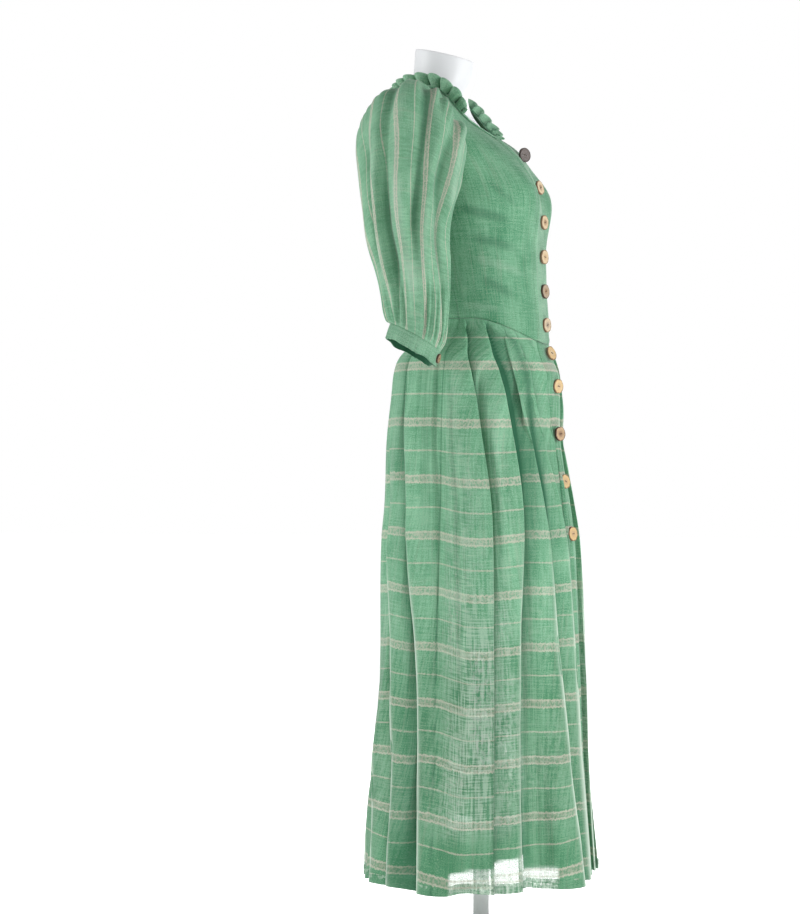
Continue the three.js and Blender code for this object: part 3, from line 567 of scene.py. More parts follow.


# pale is painted light: an even lift towards LIT_EDGE, and on the sheer skirt a lift of its upper
# part.
def linen(name, striped=False, sheer=False, pale=0.0, stripe_start=0.0, stripe_half=0.0052):
    """Loosely woven linen. The green warp streaks along the cloth, undyed flax shows in its slubs,
    and the striped part has pairs of cream lines with a hatched line between and a single midway.
    It gets a painted highlight where a fold turns its edge, and painted shade and dense cloth in
    the hollow beside one."""
    material, shade = new_material(name)
    cloth = shade.node("UVMap", {"uv_map": "cloth"})
    x = cloth.node("SeparateXYZ", None, {0: cloth}, out=0)
    y = cloth.node("SeparateXYZ", None, {0: cloth}, out=1)

    def weave(across, along, detail=2.0):
        return shade.noise(shade.stretched(cloth, across, along), 1, detail)

    grain = weave(620, 620)
    warp = weave(330, 22)
    weft = weave(26, 430)
    cloud = weave(20, 15, 4)
    blush = weave(260, 7)
    tone = (grain * 0.75 + warp * 0.42 + weft * 0.30 + cloud * 0.60).between(0.78, 1.28)
    green = tone.blend(DEEP_GREEN, LIGHT_GREEN)
    slub = grain.between(0.56, 0.74) * 0.34 + blush.between(0.54, 0.72) * 0.16
    slub = slub + weft.between(0.6, 0.75) * 0.16
    green = slub.clamped().blend(green, FLAX)
    if striped:
        beat = (y - stripe_start) * (1 / STRIPE_PITCH)
        away = ((beat + 0.5).maths("FRACT") - 0.5).maths("ABSOLUTE") * STRIPE_PITCH
        teeth = (weave(420, 110, 1) - 0.5) * 0.0052 + (weave(40, 2, 1) - 0.5) * 0.0014
        centre = away - stripe_half + teeth
        line = 1 - centre.maths("ABSOLUTE").between(0.0007, 0.0020)
        single = (away + teeth * 0.6).between(STRIPE_PITCH / 2 - 0.0016, STRIPE_PITCH / 2 - 0.0006)
        between_lines = 1 - away.between(stripe_half - 0.0014, stripe_half)
        hatch = weave(430, 210, 1).between(0.42, 0.58)
        green = (between_lines * 0.20).blend(green, STRIPE_DARK)
        green = (between_lines * (hatch * 0.40 + 0.12)).blend(green, STRIPE_CREAM)
        broken = grain.between(0.34, 0.62) * 0.32 + 0.50
        if sheer:
            broken = broken * (y.between(0.45, 0.75) * 0.22 + 0.78)
            # Painted shade: the sheer skirt darkens towards the hem.
            green = ((1 - y.between(0.34, 0.62)) * 0.36).blend(green, PAINTED_SHADE_LOW_GREEN)
        green = ((line + single * 0.85).clamped() * broken).blend(green, STRIPE_CREAM)
    painted_highlight = shade.node("Attribute", {"attribute_name": "painted_highlight"}, out="Fac")
    hollow = shade.node("Attribute", {"attribute_name": "hollow"}, out="Fac")
    if sheer:
        dense = shade.node("Attribute", {"attribute_name": "dense"}, out="Fac")
        # Painted light: the sheer skirt's upper part is lifted towards a pale green by pale.
        green = (y.between(0.36, 0.62) * pale).blend(green, PAINTED_LIGHT_PALE_GREEN)
        pale = 0.0
        worn = 1 - y.between(0.50, 0.66) * 0.6
        speck = (weave(330, 110) * 0.6 + weave(80, 420) * 0.4).between(0.47, 0.57)
        loose = weave(17, 6, 2).between(0.40, 0.56) * speck * (1 - dense) * worn
        thin = (1 - dense) * worn
        streaks = (warp * 0.56 + weft * 0.44).between(0.42, 0.58)
        # Painted light shining through the loose and thin places, on top of the real see-through of
        # the alpha.
        green = (loose * 0.52 + thin * streaks * 0.42).clamped().blend(green, LIT_EDGE)
    # Painted highlight where folds and ridges are marked, plus the even painted light of pale.
    green = (painted_highlight * 0.95 + pale).clamped().blend(green, LIT_EDGE)
    # Painted shade where the hollow mark is set: beside pleats, in creases and seams, between the
    # frill's lobes and inside the cuffs.
    green = (hollow * 0.80).clamped().blend(green, PAINTED_SHADE_GREEN)
    threads = (x * THREADS).maths("SINE") * (y * THREADS).maths("SINE")
    relief = threads * 0.2 + grain * 0.8 + warp * 0.35 + weft * 0.35
    bump = relief.bump(0.35, 0.0007)
    inputs = {"Base Color": green, "Roughness": 0.85, "Normal": bump}
    inputs.update({"Sheen Weight": 0.35, "Sheen Roughness": 0.4, "Specular IOR Level": 0.2})
    if sheer:
        hem = (1 - y.between(0.190, 0.200)) * y.between(0.137, 0.141) * (1 - dense)
        hem_gaps = hem * (grain.between(0.36, 0.62) * 0.42 + 0.24)
        gaps = (loose * 0.34 + thin * 0.14) * (1 - hem) + hem_gaps
        inputs["Alpha"] = (1 - gaps * (1 - (line * 0.6 + between_lines * 0.2))).clamped()
    front = shade.node("BsdfPrincipled", None, inputs)
    through = shade.node("BsdfTranslucent", None, {"Color": green, "Normal": bump})
    if sheer:
        clear = shade.node("BsdfTransparent")
        through = shade.node("MixShader", None, {0: inputs["Alpha"], 1: clear, 2: through})
    both = shade.node("MixShader", None, {0: 0.3, 1: front, 2: through})
    shade.node("OutputMaterial", None, {"Surface": both})
    return material


# Each pleat: its edge in degrees at five heights, its depth in millimetres at four, which way
# it faces, how wide its slow side is and how far its edge rolls over.
FOLD_LEVELS = np.array([975, 900, 760, 450, 120.0])
FOLDS = [dict(zip("top waist hip knee hem d1 d2 d3 d4 faces ramp roll".split(), row)) for row in [
    (36, 23, 12, 9, 6, 4, 5, 2, 1, 1, 8, 4),
    (53, 37, 23, 14, 9, 5, 8, 10, 11, 1, 9, 6),
    (64, 48, 36, 30, 21, 4, 7, 10, 12, 1, 9, 6),
    (80, 61, 50, 55, 56, 7, 7, 4, 4, 1, 11, 5),
    (94, 79, 70, 70, 70, 5, 5, 2, 1, 1, 11, 5),
    (126, 130, 127, 115, 108, 7, 8, 8, 10, -1, 12, 6),
    (146, 150, 147, 137, 124, 5, 8, 9, 11, -1, 9, 6),
    (166, 170, 166, 159, 143, 5, 7, 9, 12, -1, 9, 6),
    (182, 186, 184, 180, 168, 4, 6, 8, 10, -1, 9, 5),
    (205, 201, 202, 203, 196, 5, 7, 8, 9, 1, 10, 5),
    (222, 218, 220, 226, 230, 5, 8, 9, 12, 1, 9, 6),
    (242, 238, 241, 248, 254, 6, 7, 9, 10, 1, 10, 6),
    (278, 284, 292, 300, 298, 5, 4, 4, 5, -1, 12, 4),
    (297, 303, 315, 318, 321, 5, 5, 3, 3, -1, 9, 4),
    (312, 318, 327, 333, 339, 5, 8, 10, 11, -1, 9, 6),
    (328, 334, 342, 350, 353, 5, 7, 8, 8, -1, 8, 5),
]]
FOLD_STEP, FOLD_HOLLOW = 3.4, 0.8  # degrees that a pleat's step takes, and the hollow beyond it
FOLD_START, SKIRT_START = 20, 55  # how far below the waist seam the pleats and the flare are full
FOLD_DEPTH, FOLD_ROLL = 1.2, 1.5  # how much deeper and rounder than the table the pleats hang
ROLL_WIDTH = 3.6  # degrees of cloth that roll over at a pleat's edge
DEEP_FOLD = 7  # from this depth at the waist a pleat throws a wide shadow
LIT_TOP, STRIP_TOP, SINGLE_LAYER_TOP = 690, 680, 236  # heights below which light comes through
SKIRT_PER_RADIAN = 0.30  # metres of flat cloth in each radian of the skirt
# Uneven waves of the cloth: small ones all over the skirt, and wider ones towards the hem.
RIPPLES = table("waves height phase drift", [
    (23, 1.5, 0.4, 0.9), (37, 1.2, 2.1, -1.3), (61, 0.7, 4.0, 1.7), (97, 0.38, 1.2, -2.2),
    (151, 0.2, 5.1, 3.1),
])
FLUTTER = table("waves height phase drift", [
    (13, 3.2, 0.8, 0.6), (19, 2.2, 3.0, -0.8), (29, 1.4, 5.2, 1.1),
])


def hill(value, low, top, end, foot):
    """1 between top and end, with a smooth rise to it from low and a smooth fall to foot."""
    return smooth(value, low, top) * (1 - smooth(value, end, foot))


def bell(value, width):
    """1 at nothing, and a soft fall on both sides over a width."""
    return np.exp(-((value / width) ** 2))


def unit(ways):
    """Directions of length 1."""
    return ways / np.linalg.norm(ways, axis=-1, keepdims=True)


def waves(rows, turn, z):
    """A sum of uneven ripples round the skirt, which drift sideways on their way down."""
    total = 0
    for count, height, phase, drift in zip(*rows.values()):
        lean = drift * np.sin((HEM_Z + WAIST_Z - z) / 230 + phase)
        total = total + height * np.sin(count * turn + phase + lean)
    return total


def fold_value(fold, names, z):
    """A pleat's place or depth at each height."""
    values = np.array([fold[name] for name in names.split()], float)
    return curve(FOLD_LEVELS, values, np.clip(z, HEM_Z, FOLD_LEVELS[0]))


def swag(turn, z):
    """How far the cloth's stripes sag, in millimetres, between the pleats that carry it."""
    degrees = np.degrees(turn) % 360
    falling = smooth(WAIST_Z - 40 - z, 0, 300)
    near = 10 * hill(degrees, 46, 66, 88, 112)
    far = 9 * hill(degrees, 248, 266, 286, 300) + 5 * np.sin(turn * 5 + 0.6) ** 2
    pleat = 4 * bell(degrees - 36, 6) + 3 * bell(degrees - 22, 4)
    return (near + far + pleat + 2 * np.sin(turn * 9 + z / 210)) * falling


def sheerness(degrees, z):
    """How much light comes through the hung cloth: its open places, the lit strip beside the
    placket, and the windows above the hem where the cloth is a single layer."""
    strip = hill(degrees, 336, 343, 353, 359) * smooth(STRIP_TOP - z, 0, 120)
    sheer = 0.30 * hill(degrees, 50, 58, 92, 99) + 0.66 * bell(degrees - 85, 8)
    sheer = sheer + 0.50 * bell(degrees - 59, 3.5) + hill(degrees, 250, 260, 292, 300) + 0.6 * strip
    near_top = 151 + 22 * smooth(90 - degrees, 2, 33) * (degrees > 55)  # higher towards the front
    near = hill(degrees, 37, 39, 90, 92) * (1 - smooth(z, near_top - 3, near_top + 1))
    far = hill(degrees, 242, 246, 298, 303) * (1 - smooth(z, 174, 180))
    return sheer, strip, np.maximum(near, far)


def skirt(turn, z):
    """Points of the pleated skirt and its marks: painted highlight on a pleat's edge, painted shade
    beside it and on the side seam, and dense where its layers lie over each other. turn counts
    the cloth's own width."""
    below = seam_height(turn) - z
    degrees = np.degrees(turn)
    lift, shift, painted_highlight, hollow, dense = 0, 0, 0, 0, 0
    for fold in FOLDS:
        edge = fold_value(fold, "top waist hip knee hem", z)
        depth = FOLD_DEPTH * fold_value(fold, "d1 d1 d2 d3 d4", z)
        roll = FOLD_ROLL * fold["roll"] * smooth(below, 0, 22)
        apart = (edge - degrees + 180) % 360 - 180
        beyond = fold["faces"] * apart + roll
        sunk = FOLD_HOLLOW * bell(beyond - roll - 1, 4.2) * smooth(beyond, 0, 3)
        rise = np.where(beyond < 0, bell(beyond, fold["ramp"]), bell(beyond, FOLD_STEP))
        lift = lift + depth * (rise - sunk)
        shift = shift - fold["faces"] * roll * bell(beyond, ROLL_WIDTH)
        strength = smooth(depth, 1.5, 8)
        # Painted highlight on the pleat's edge, mostly below LIT_TOP.
        lit = bell(beyond - 0.4, 0.85) * (0.04 + 0.96 * smooth(LIT_TOP - z, 0, 220))
        painted_highlight = np.maximum(painted_highlight, lit * strength * smooth(below, 10, 120))
        # Painted shade beside the pleat's edge, wider for a deep pleat, with a crisp dark line at
        # the edge.
        width, gloom = 3.2, 0.60
        if fold["d1"] >= DEEP_FOLD:
            width, gloom = 6.5 if fold["faces"] < 0 else 5, 0.88
        shadow = gloom * bell(beyond - roll, width) * smooth(beyond, 1, 3.5)
        shadow = shadow + 0.75 * bell(beyond - roll - 0.2, 0.8)
        hollow = np.maximum(hollow, shadow * (0.35 + 0.65 * strength) * smooth(below, -1, 6))
        dense = np.maximum(dense, bell(beyond - 1, 6.5) * smooth(depth, 1.0, 6))
    sheer, strip, window = sheerness(degrees % 360, z)
    dense = np.maximum(dense * (1 - 0.6 * strip), 0.85 * (1 - sheer))
    single_layer = smooth(SINGLE_LAYER_TOP - z, 0, 56)
    dense = dense * (1 - single_layer) + (1 - window) * single_layer
    true_turn = turn + np.radians(shift)
    flare = smooth(below, 0, SKIRT_START)[..., None]
    p = figure(true_turn, z) * (1 - flare) + section(SKIRT, true_turn, z) * flare
    out = unit(np.stack([p[..., 0], p[..., 1] - reading(SKIRT, "mid", z)], -1))
    slow_start = 70 * smooth(-np.cos(turn), 0.1, 0.7)
    lift = lift * smooth(below, 0, FOLD_START + slow_start)
    lift = lift + waves(RIPPLES, turn, z) * smooth(below, 0, 120)
    lift = lift + waves(FLUTTER, turn, z) * smooth(HEM_Z + 420 - z, 0, 420)
    seam = p[..., 1] - reading(SIDE_SEAM, "y", z)
    lift = lift - 1.3 * bell(seam, 2.2) - 1.0 * bell(below, 2.0)
    p[..., :2] += out * lift[..., None]
    # Painted shade along the side seam.
    hollow = np.maximum(hollow, 0.75 * bell(seam, 1.1))
    return p, {"painted_highlight": painted_highlight, "hollow": hollow, "dense": dense}


HEM_TURN = ((0.7, 0.0), (1.1, 3.0), (1.2, 15.0))  # inwards and upwards from the hem's edge, in mm
SKIRT_ROWS = 190


def skirt_grid(first_turn, last_turn, columns):
    """Turn and height of each point of a skirt panel, between two turns given as functions of z."""
    f = np.linspace(0, 1, SKIRT_ROWS)[None, :]
    share = np.linspace(0, 1, columns)[:, None]
    z = WAIST_Z + (HEM_Z - WAIST_Z) * f + np.zeros_like(share)
    for _ in range(4):
        a, b = first_turn(z), last_turn(z)
        turn = a + (b - a) * share
        top = seam_height(turn) - 0.4
        z = top + (HEM_Z - top) * f
    return turn, z


def skirt_panel(name, first_turn, last_turn, columns):
    """One panel of the skirt, with its hem turned up inside."""
    turn, z = skirt_grid(first_turn, last_turn, columns)
    points, marks = skirt(turn, z)
    normal = normals_of(points)
    droop = 3 + 2.5 * np.sin(5 * turn) + 2.0 * np.sin(11 * turn + 1) + 1.2 * np.sin(23 * turn + 2)
    points[..., 2] -= droop * smooth(HEM_Z + 60 - z, 0, 60)
    inwards, upwards = np.array(HEM_TURN).T
    hem = points[:, -1:, :] - normal[:, -1:, :] * inwards[None, :, None]
    hem[..., 2] += upwards
    cloth = np.stack([turn * SKIRT_PER_RADIAN, (z + swag(turn, z)) / 1000], -1)
    under = np.repeat(cloth[:, -1:, :], len(HEM_TURN), 1)
    under[..., 1] -= upwards / 1000
    points = np.concatenate([points, hem], 1)
    cloth = np.concatenate([cloth, under], 1)
    marks = {word: np.pad(values, ((0, 0), (0, len(HEM_TURN)))) for word, values in marks.items()}
    return cloth_mesh(name, points, cloth, marks=marks)


def side_turn(z, side, surface=SKIRT):
    """The turn of the side seam at each height, on the wearer's right (-1) or left (1)."""
    mid = reading(surface, "mid", z)
    ahead = mid - reading(SIDE_SEAM, "y", z)
    front, back = mid - reading(surface, "front", z), reading(surface, "back", z) - mid
    reach = np.where(ahead > 0, front, back)
    right = np.arccos(signed_power(ahead / reach, reading(surface, "round", z) / 2))
    return right if side < 0 else 2 * math.pi - right


def front_turn(z, x, surface=SKIRT):
    """The turn at which the front crosses a distance to the wearer's left of the centre."""
    share = x / reading(surface, "half", z)
    return -np.arcsin(signed_power(share, reading(surface, "round", z) / 2))


def seams(surface):
    """The turns at which the right front, the left front and the back begin and end."""
    def edge(z):
        return front_turn(z, CLOSURE_X - UNDERLAP, surface)

    def right(z):
        return side_turn(z, -1, surface)

    def left(z):
        return side_turn(z, 1, surface)

    return (edge, right), (lambda z: left(z) - 2 * math.pi, edge), (right, left)


# pale paints light on the skirt's upper part.
skirt_linen = linen("skirt_linen", striped=True, sheer=True, pale=0.11, stripe_start=0.150)
right_seams, left_seams, back_seams = seams(SKIRT)
right_front = skirt_panel("right_skirt_front", *right_seams, 170)
left_front = skirt_panel("left_skirt_front", *left_seams, 200)
skirt_back = skirt_panel("back_skirt", *back_seams, 300)
finish_piece(right_front, "right_skirt_front", skirt_linen, "linen", "skirt_front_right")
finish_piece(left_front, "left_skirt_front", skirt_linen, "linen", "skirt_front_left")
finish_piece(skirt_back, "back_skirt", skirt_linen, "linen", "skirt_back")


# ---- Bodice ---------------------------------------------------------------------------------
# Two fronts and a back of the plain cloth, cut close and shaped by its seams. They are sewn to
# the skirt at a waist seam which dips in front, and drag a little from the underarms.

# The armhole is an oval, seen from the side, and keeps this far away from the middle of the dress.
ARMHOLE_MID, ARMHOLE_HEIGHT, ARMHOLE_HALF_DEPTH, ARMHOLE_HALF_HEIGHT = 52, 1248, 56, 80
ARMHOLE_NEAREST, ARMHOLE_CUT = 137, 95
NECK_LOWEST = 1216.0
BODICE_PER_RADIAN = 0.137
BODICE_PER_DEGREE = 2.35  # millimetres round the bodice in each degree
# Drag creases, each a line from one turn and height to another, with a width and a height.
BODICE_CREASES = table("turn1 z1 turn2 z2 width height", [
    (88, 1152, 48, 1134, 9, -1.6),
    (84, 1108, 40, 1092, 10, -1.4),
    (86, 1078, 30, 1052, 9, 1.3),
    (80, 1046, 44, 1016, 11, -1.3),
    (96, 1006, 60, 996, 7, 1.2),
    (64, 1196, 40, 1150, 8, -1.0),
    (122, 1128, 150, 1094, 12, -1.6),
    (118, 1062, 160, 1040, 10, 1.4),
    (140, 1180, 172, 1120, 14, -1.3),
    (205, 1110, 240, 1132, 13, -1.6),
    (196, 1034, 236, 1052, 10, 1.3),
    (186, 1186, 214, 1206, 12, -1.1),
    (272, 1148, 312, 1130, 9, -1.6),
    (276, 1100, 322, 1084, 10, -1.4),
    (274, 1066, 330, 1046, 9, 1.2),
    (284, 1030, 318, 1010, 10, -1.2),
])


def side_reach(y, z):
    """How far from the centre plane the figure's side lies, at points seen from the side."""
    mid = reading(FIGURE, "mid", z)
    reach = np.where(y < mid, mid - reading(FIGURE, "front", z), reading(FIGURE, "back", z) - mid)
    power = reading(FIGURE, "round", z)
    left = np.maximum(1 - (np.abs(y - mid) / reach) ** power, 0)
    return reading(FIGURE, "half", z) * left ** (1 / power)


def outside_neck(x, y, margin=0.0):
    """Above 0 where a point in plan lies outside the neck opening widened by a margin."""
    reach = np.where(y < NECK_MID, NECK_FRONT, NECK_BACK) + margin
    share = np.clip(np.abs(y - NECK_MID) / reach, 0, 1)
    along = np.sqrt(1 - share**2)
    half = (NECK_HALF + margin) * np.where(y < NECK_MID, (along**2) ** NECK_POINT, along)
    return np.abs(x) - half + np.where(np.abs(y - NECK_MID) > reach, 1000, 0)


def creased(turn, z):
    """The sum of soft creases, each a line between two places with a width and a height."""
    total = 0
    degrees = np.degrees(turn) % 360
    for t1, z1, t2, z2, width, height in zip(*BODICE_CREASES.values()):
        run = np.array([(t2 - t1) * BODICE_PER_DEGREE, z2 - z1])
        off_x, off_z = (degrees - t1) * BODICE_PER_DEGREE, z - z1
        share = (off_x * run[0] + off_z * run[1]) / (run @ run)
        beside = (off_x * run[1] - off_z * run[0]) / np.sqrt(run @ run)
        total = total + height * hill(share, -0.25, 0.3, 0.6, 1.2) * bell(beside, width)
    return total


def bodice(turn, z, lift=0.0):
    """Points of the bodice, with its drag creases and the hollow of its waist seam."""
    p = figure(turn, z)
    normal = normals_of(p)
    above = z - seam_height(turn)
    rise = creased(turn, z) + 0.5 * np.sin(5 * turn + z / 17) * np.sin(z / 29 + 2 * turn)
    rise = rise - 1.2 * bell(above, 2.2) + 0.8 * bell(above - 6, 3.5)
    seam = p[..., 1] - reading(SIDE_SEAM, "y", z)
    rise = rise - 1.0 * bell(seam, 2.0) * (np.abs(p[..., 0]) > 60)
    return p + normal * (rise + lift)[..., None], normal


def halved(low, high, times, goes_up):
    """The height at which a test stops saying that it has to go up, by halving."""
    for _ in range(times):
        middle = (low + high) / 2
        up = goes_up(middle)
        low, high = np.where(up, middle, low), np.where(up, high, middle)
    return low


def neck_edge(turn_at, columns, high):
    """The height in each column at which the figure comes out of the neck opening."""
    def outside(z):
        p = figure(turn_at(z), z)
        return outside_neck(p[..., 0], p[..., 1]) > 0

    return halved(np.full(columns, NECK_LOWEST), np.full(columns, high), 36, outside)[:, None]


def bodice_grid(first_turn, last_turn, columns, rows):
    """Turns and heights of a bodice panel's points, from the neck's edge to the waist seam."""
    share = np.linspace(0, 1, columns)

    def turn_at(z):
        a, b = first_turn(z), last_turn(z)
        return a + (b - a) * share.reshape(-1, *[1] * (z.ndim - 1))

    top = neck_edge(turn_at, columns, 1359.0)
    f = np.linspace(0, 1, rows)[None, :]
    f = 0.3 * f + 0.7 * f**2  # the rows lie closer together at the neck
    z = top + (WAIST_Z - top) * f
    for _ in range(5):
        z = top + (seam_height(turn_at(z)) - top) * f
    return turn_at(z), z


def armhole_place(angle, share, clear=0.0):
    """Where the armhole's edge lies, seen from the side, at angles round it."""
    y = ARMHOLE_MID + (share * ARMHOLE_HALF_DEPTH - clear) * np.cos(angle)
    z = ARMHOLE_HEIGHT + (share * ARMHOLE_HALF_HEIGHT - clear) * np.sin(angle)
    return y, z


def armhole_share(angle):
    """How far out the armhole's oval is cut, as a share of its full size, at angles round it."""
    share = np.ones_like(angle)
    for _ in range(160):
        near_neck = side_reach(*armhole_place(angle, share)) < ARMHOLE_NEAREST
        share = np.where(near_neck, share - 0.005, share)
    return share


def cut_armholes(turn, z, points):
    """Moves the points just inside an armhole out to its edge, and says which points stay."""
    p = figure(turn, z)
    across = (p[..., 1] - ARMHOLE_MID) / ARMHOLE_HALF_DEPTH
    over = (z - ARMHOLE_HEIGHT) / ARMHOLE_HALF_HEIGHT
    angle = np.arctan2(over, across)
    share = armhole_share(angle)
    inside = (np.hypot(over, across) < share) & (np.abs(p[..., 0]) > ARMHOLE_CUT)
    outside = np.pad(~inside, 1)
    near = np.zeros_like(inside)
    for i in range(3):
        for j in range(3):
            near |= outside[i : i + inside.shape[0], j : j + inside.shape[1]]
    y, height = armhole_place(angle, share)
    edge = np.stack([np.sign(points[..., 0]) * side_reach(y, height), y, height], -1)
    return np.where((inside & near)[..., None], edge, points), near


def bodice_panel(name, first_turn, last_turn, columns, rows=150):
    """One panel of the bodice, with the armhole's edge cut clean."""
    turn, z = bodice_grid(first_turn, last_turn, columns, rows)
    points, near = cut_armholes(turn, z, bodice(turn, z)[0])
    cloth = np.stack([turn * BODICE_PER_RADIAN, z / 1000], -1)
    crease = creased(turn, z)
    # Painted shade in the drag creases and beside the underarms, and painted highlight on the
    # creases' ridges.
    shaded = 0.55 * smooth(-crease, 0.25, 1.5)
    for underarm in (92, 268):
        beside = bell(np.degrees(turn) % 360 - underarm, 13)
        shaded = shaded + 0.16 * beside * hill(z, 1000, 1060, 1150, 1210)
    marks = {"hollow": shaded, "painted_highlight": 0.12 * smooth(crease, 0.3, 1.4)}
    piece = cloth_mesh(name, points, cloth, keep=near, marks=marks)
    apply_modifier(piece, "SOLIDIFY", thickness=0.0009, offset=-1)
    return piece


plain_linen = linen("plain_linen")
# The plain cloth lightened evenly with painted light, for the band and the cuffs.
painted_light_linen = linen("painted_light_linen", pale=0.09)
right_seams, left_seams, back_seams = seams(FIGURE)
bodice_right = bodice_panel("right_bodice_front", *right_seams, 110)
bodice_left = bodice_panel("left_bodice_front", *left_seams, 130)
bodice_rear = bodice_panel("back_bodice", *back_seams, 190)
finish_piece(bodice_right, "right_bodice_front", plain_linen, "linen", "bodice_front_right")
finish_piece(bodice_left, "left_bodice_front", plain_linen, "linen", "bodice_front_left")
finish_piece(bodice_rear, "back_bodice", plain_linen, "linen", "bodice_back")


# ---- Buttonhole band and placket ---------------------------------------------------------------
# A doubled strip of the plain cloth is sewn to the right front and laps over the left one. It
# carries on down the skirt to its hem. Its free edge is topstitched.

BAND_LIFT, BAND_WALL, BAND_COLUMNS = 1.9, 1.5, 30
LOCK_STITCH = 3.0  # from one stitch to the next
across_band = np.linspace(0, BAND_OUTER + BAND_INNER, BAND_COLUMNS)[:, None]
thread_lines = []  # each row of topstitching: its points, its normals and its stitch


def strip_turns(z, surface):
    """The turns of the band's columns, from its free edge to its sewn edge."""
    x = np.linspace(CLOSURE_X + BAND_OUTER, CLOSURE_X - BAND_INNER, BAND_COLUMNS)
    return np.stack([front_turn(z[k], x[k], surface) for k in range(BAND_COLUMNS)])


def soft_wall(piece, thickness):
    """Gives a sheet its wall, inwards from its face."""
    apply_modifier(piece, "SOLIDIFY", thickness=thickness / 1000, offset=-1)


def band_on_bodice(rows=150):
    """Turns, heights, points and normals of the band, from the neck's edge to the waist seam."""
    top = neck_edge(lambda z: strip_turns(z[:, None], FIGURE)[:, 0], BAND_COLUMNS, 1330.0)
    f = np.linspace(0, 1, rows)[None, :]
    z = top + (WAIST_Z - WAIST_DIP - top) * f
    for _ in range(4):
        z = top + (seam_height(strip_turns(z, FIGURE)) + 0.3 - top) * f
    turn = strip_turns(z, FIGURE)
    points, normal = bodice(turn, z, BAND_LIFT)
    rise = 0.6 * bell(across_band - 44, 2.5) - 1.75 * smooth(across_band, 45, 50)
    return turn, z, points + normal * rise[..., None], normal


turn, z, points, normal = band_on_bodice()
thread_lines.append((points[2], normal[2], LOCK_STITCH))
cloth = np.stack([turn * BODICE_PER_RADIAN, z / 1000], -1)
band = cloth_mesh("buttonhole_band", points, cloth)
soft_wall(band, BAND_WALL)
finish_piece(band, "buttonhole_band", painted_light_linen, "linen", "bodice_band")

rows = np.linspace(0, 1, 200)[None, :]
z = WAIST_Z - WAIST_DIP + (HEM_Z - WAIST_Z + WAIST_DIP) * rows + 0 * across_band
for _ in range(4):
    turn = strip_turns(z, SKIRT)
    top = seam_height(turn) - 0.4
    z = top + (HEM_Z - 0.6 - top) * rows
points, marks = skirt(turn, z)
normal = normals_of(points)
points = points + normal * (BAND_LIFT - 1.6 * smooth(across_band, 45, 50))[..., None]
thread_lines.append((points[2], normal[2], LOCK_STITCH))
cloth = np.stack([turn * SKIRT_PER_RADIAN, z / 1000], -1)
placket = cloth_mesh("skirt_placket", points, cloth, marks=marks)
soft_wall(placket, BAND_WALL)
placket_linen = linen("placket_linen", striped=True, stripe_start=0.150)
finish_piece(placket, "placket", placket_linen, "linen", "skirt_placket")


# ---- Neck binding -----------------------------------------------------------------------------
# A narrow bias strip of the plain cloth wraps the neck's raw edge, from one side of the band round
# to the other, and is stitched down twice.

BINDING_WIDTH, BINDING_WALL, BINDING_COLUMNS = 8, 1.4, 9


def neck_place(turn, margin):
    """Points in plan of the neck's edge moved out by a margin. The turn goes from the front (-90
    degrees) over the wearer's right and the back (90), and on over the left (180)."""
    front, along = np.sin(turn) < 0, np.cos(turn)
    along = np.where(front, signed_power(along, 2 * NECK_POINT), along)
    reach = np.where(front, NECK_FRONT, NECK_BACK) + margin
    return -(NECK_HALF + margin) * along, NECK_MID + reach * np.sin(turn)


def shoulder_height(x, y):
    """Height of the figure's upper face over points in plan."""
    low = np.where(y > NECK_MID, 1250.0, 1180.0)
    return halved(low, np.full_like(low, 1379.0), 40, lambda z: side_reach(y, z) > np.abs(x))


def turn_at_band(x, margin):
    """The neck's turn at which its edge meets a side of the band."""
    share = np.abs(x) / (NECK_HALF + margin)
    return -np.arccos(share ** (0.5 / NECK_POINT))


margins = np.linspace(0, BINDING_WIDTH, BINDING_COLUMNS)
start = turn_at_band(CLOSURE_X - BAND_INNER - 0.3, margins)
stop = 2 * math.pi + turn_at_band(CLOSURE_X + BAND_OUTER + 0.3, margins)
f = np.linspace(0, 1, 420)[:, None]
turn = start + (stop - start) * f
x, y = neck_place(turn, margins)
points = np.stack([x, y, shoulder_height(x, y)], -1)
normal = -normals_of(points[::-1])[::-1]
normal *= np.sign(normal[..., 2:3] + 0.3)
bulge = 1.9 + 0.5 * np.sin(math.pi * margins / BINDING_WIDTH)
bulge = bulge + 0.25 * np.sin(60 * turn + 2 * np.sin(9 * turn))
points = points + normal * bulge[..., None]
for column in (5, 7):
    thread_lines.append((points[:, column], normal[:, column], LOCK_STITCH))
cloth = np.stack([0.62 * f + 0 * margins, 2 + margins / 1000 + 0 * f], -1)
binding = cloth_mesh("neck_binding", points[::-1], cloth[::-1])
edit_all(binding, partial(bpy.ops.mesh.normals_make_consistent, inside=False))
soft_wall(binding, BINDING_WALL)
finish_piece(binding, "neck_tape", plain_linen, "linen", "neck_binding")


# ---- Neck frill -------------------------------------------------------------------------------
# A folded strip of the plain cloth, gathered along its foot and sewn to the binding, from the
# right front round the back to the left front. It stands up in tight rounded lobes.

FRILL_HEIGHT, FRILL_PITCH, FRILL_RIGHT_END, FRILL_LEFT_END = 17.5, 16.5, 8, -12
LOBE_REACH, LOBE_ROLL, STRIP_HEIGHT, FRILL_COLUMNS = 8.5, 4.6, 16.5, 900
FRILL_GATHERED = 1.9  # how much longer the strip is than the line that it stands on
# The strip's section, from the foot outside over the fold on top to the middle: how high, and how
# far from its own middle. The inside is the same again.
FRILL_OUTSIDE = [
    (0.0, 1.0), (0.12, 1.2), (0.28, 1.5), (0.45, 2.0), (0.62, 2.5), (0.78, 2.6), (0.9, 2.0),
    (0.98, 1.1),
]
FRILL_INSIDE = [(up, -out) for up, out in reversed(FRILL_OUTSIDE)]
FRILL_SECTION = np.array([*FRILL_OUTSIDE, (1.0, 0.0), *FRILL_INSIDE])


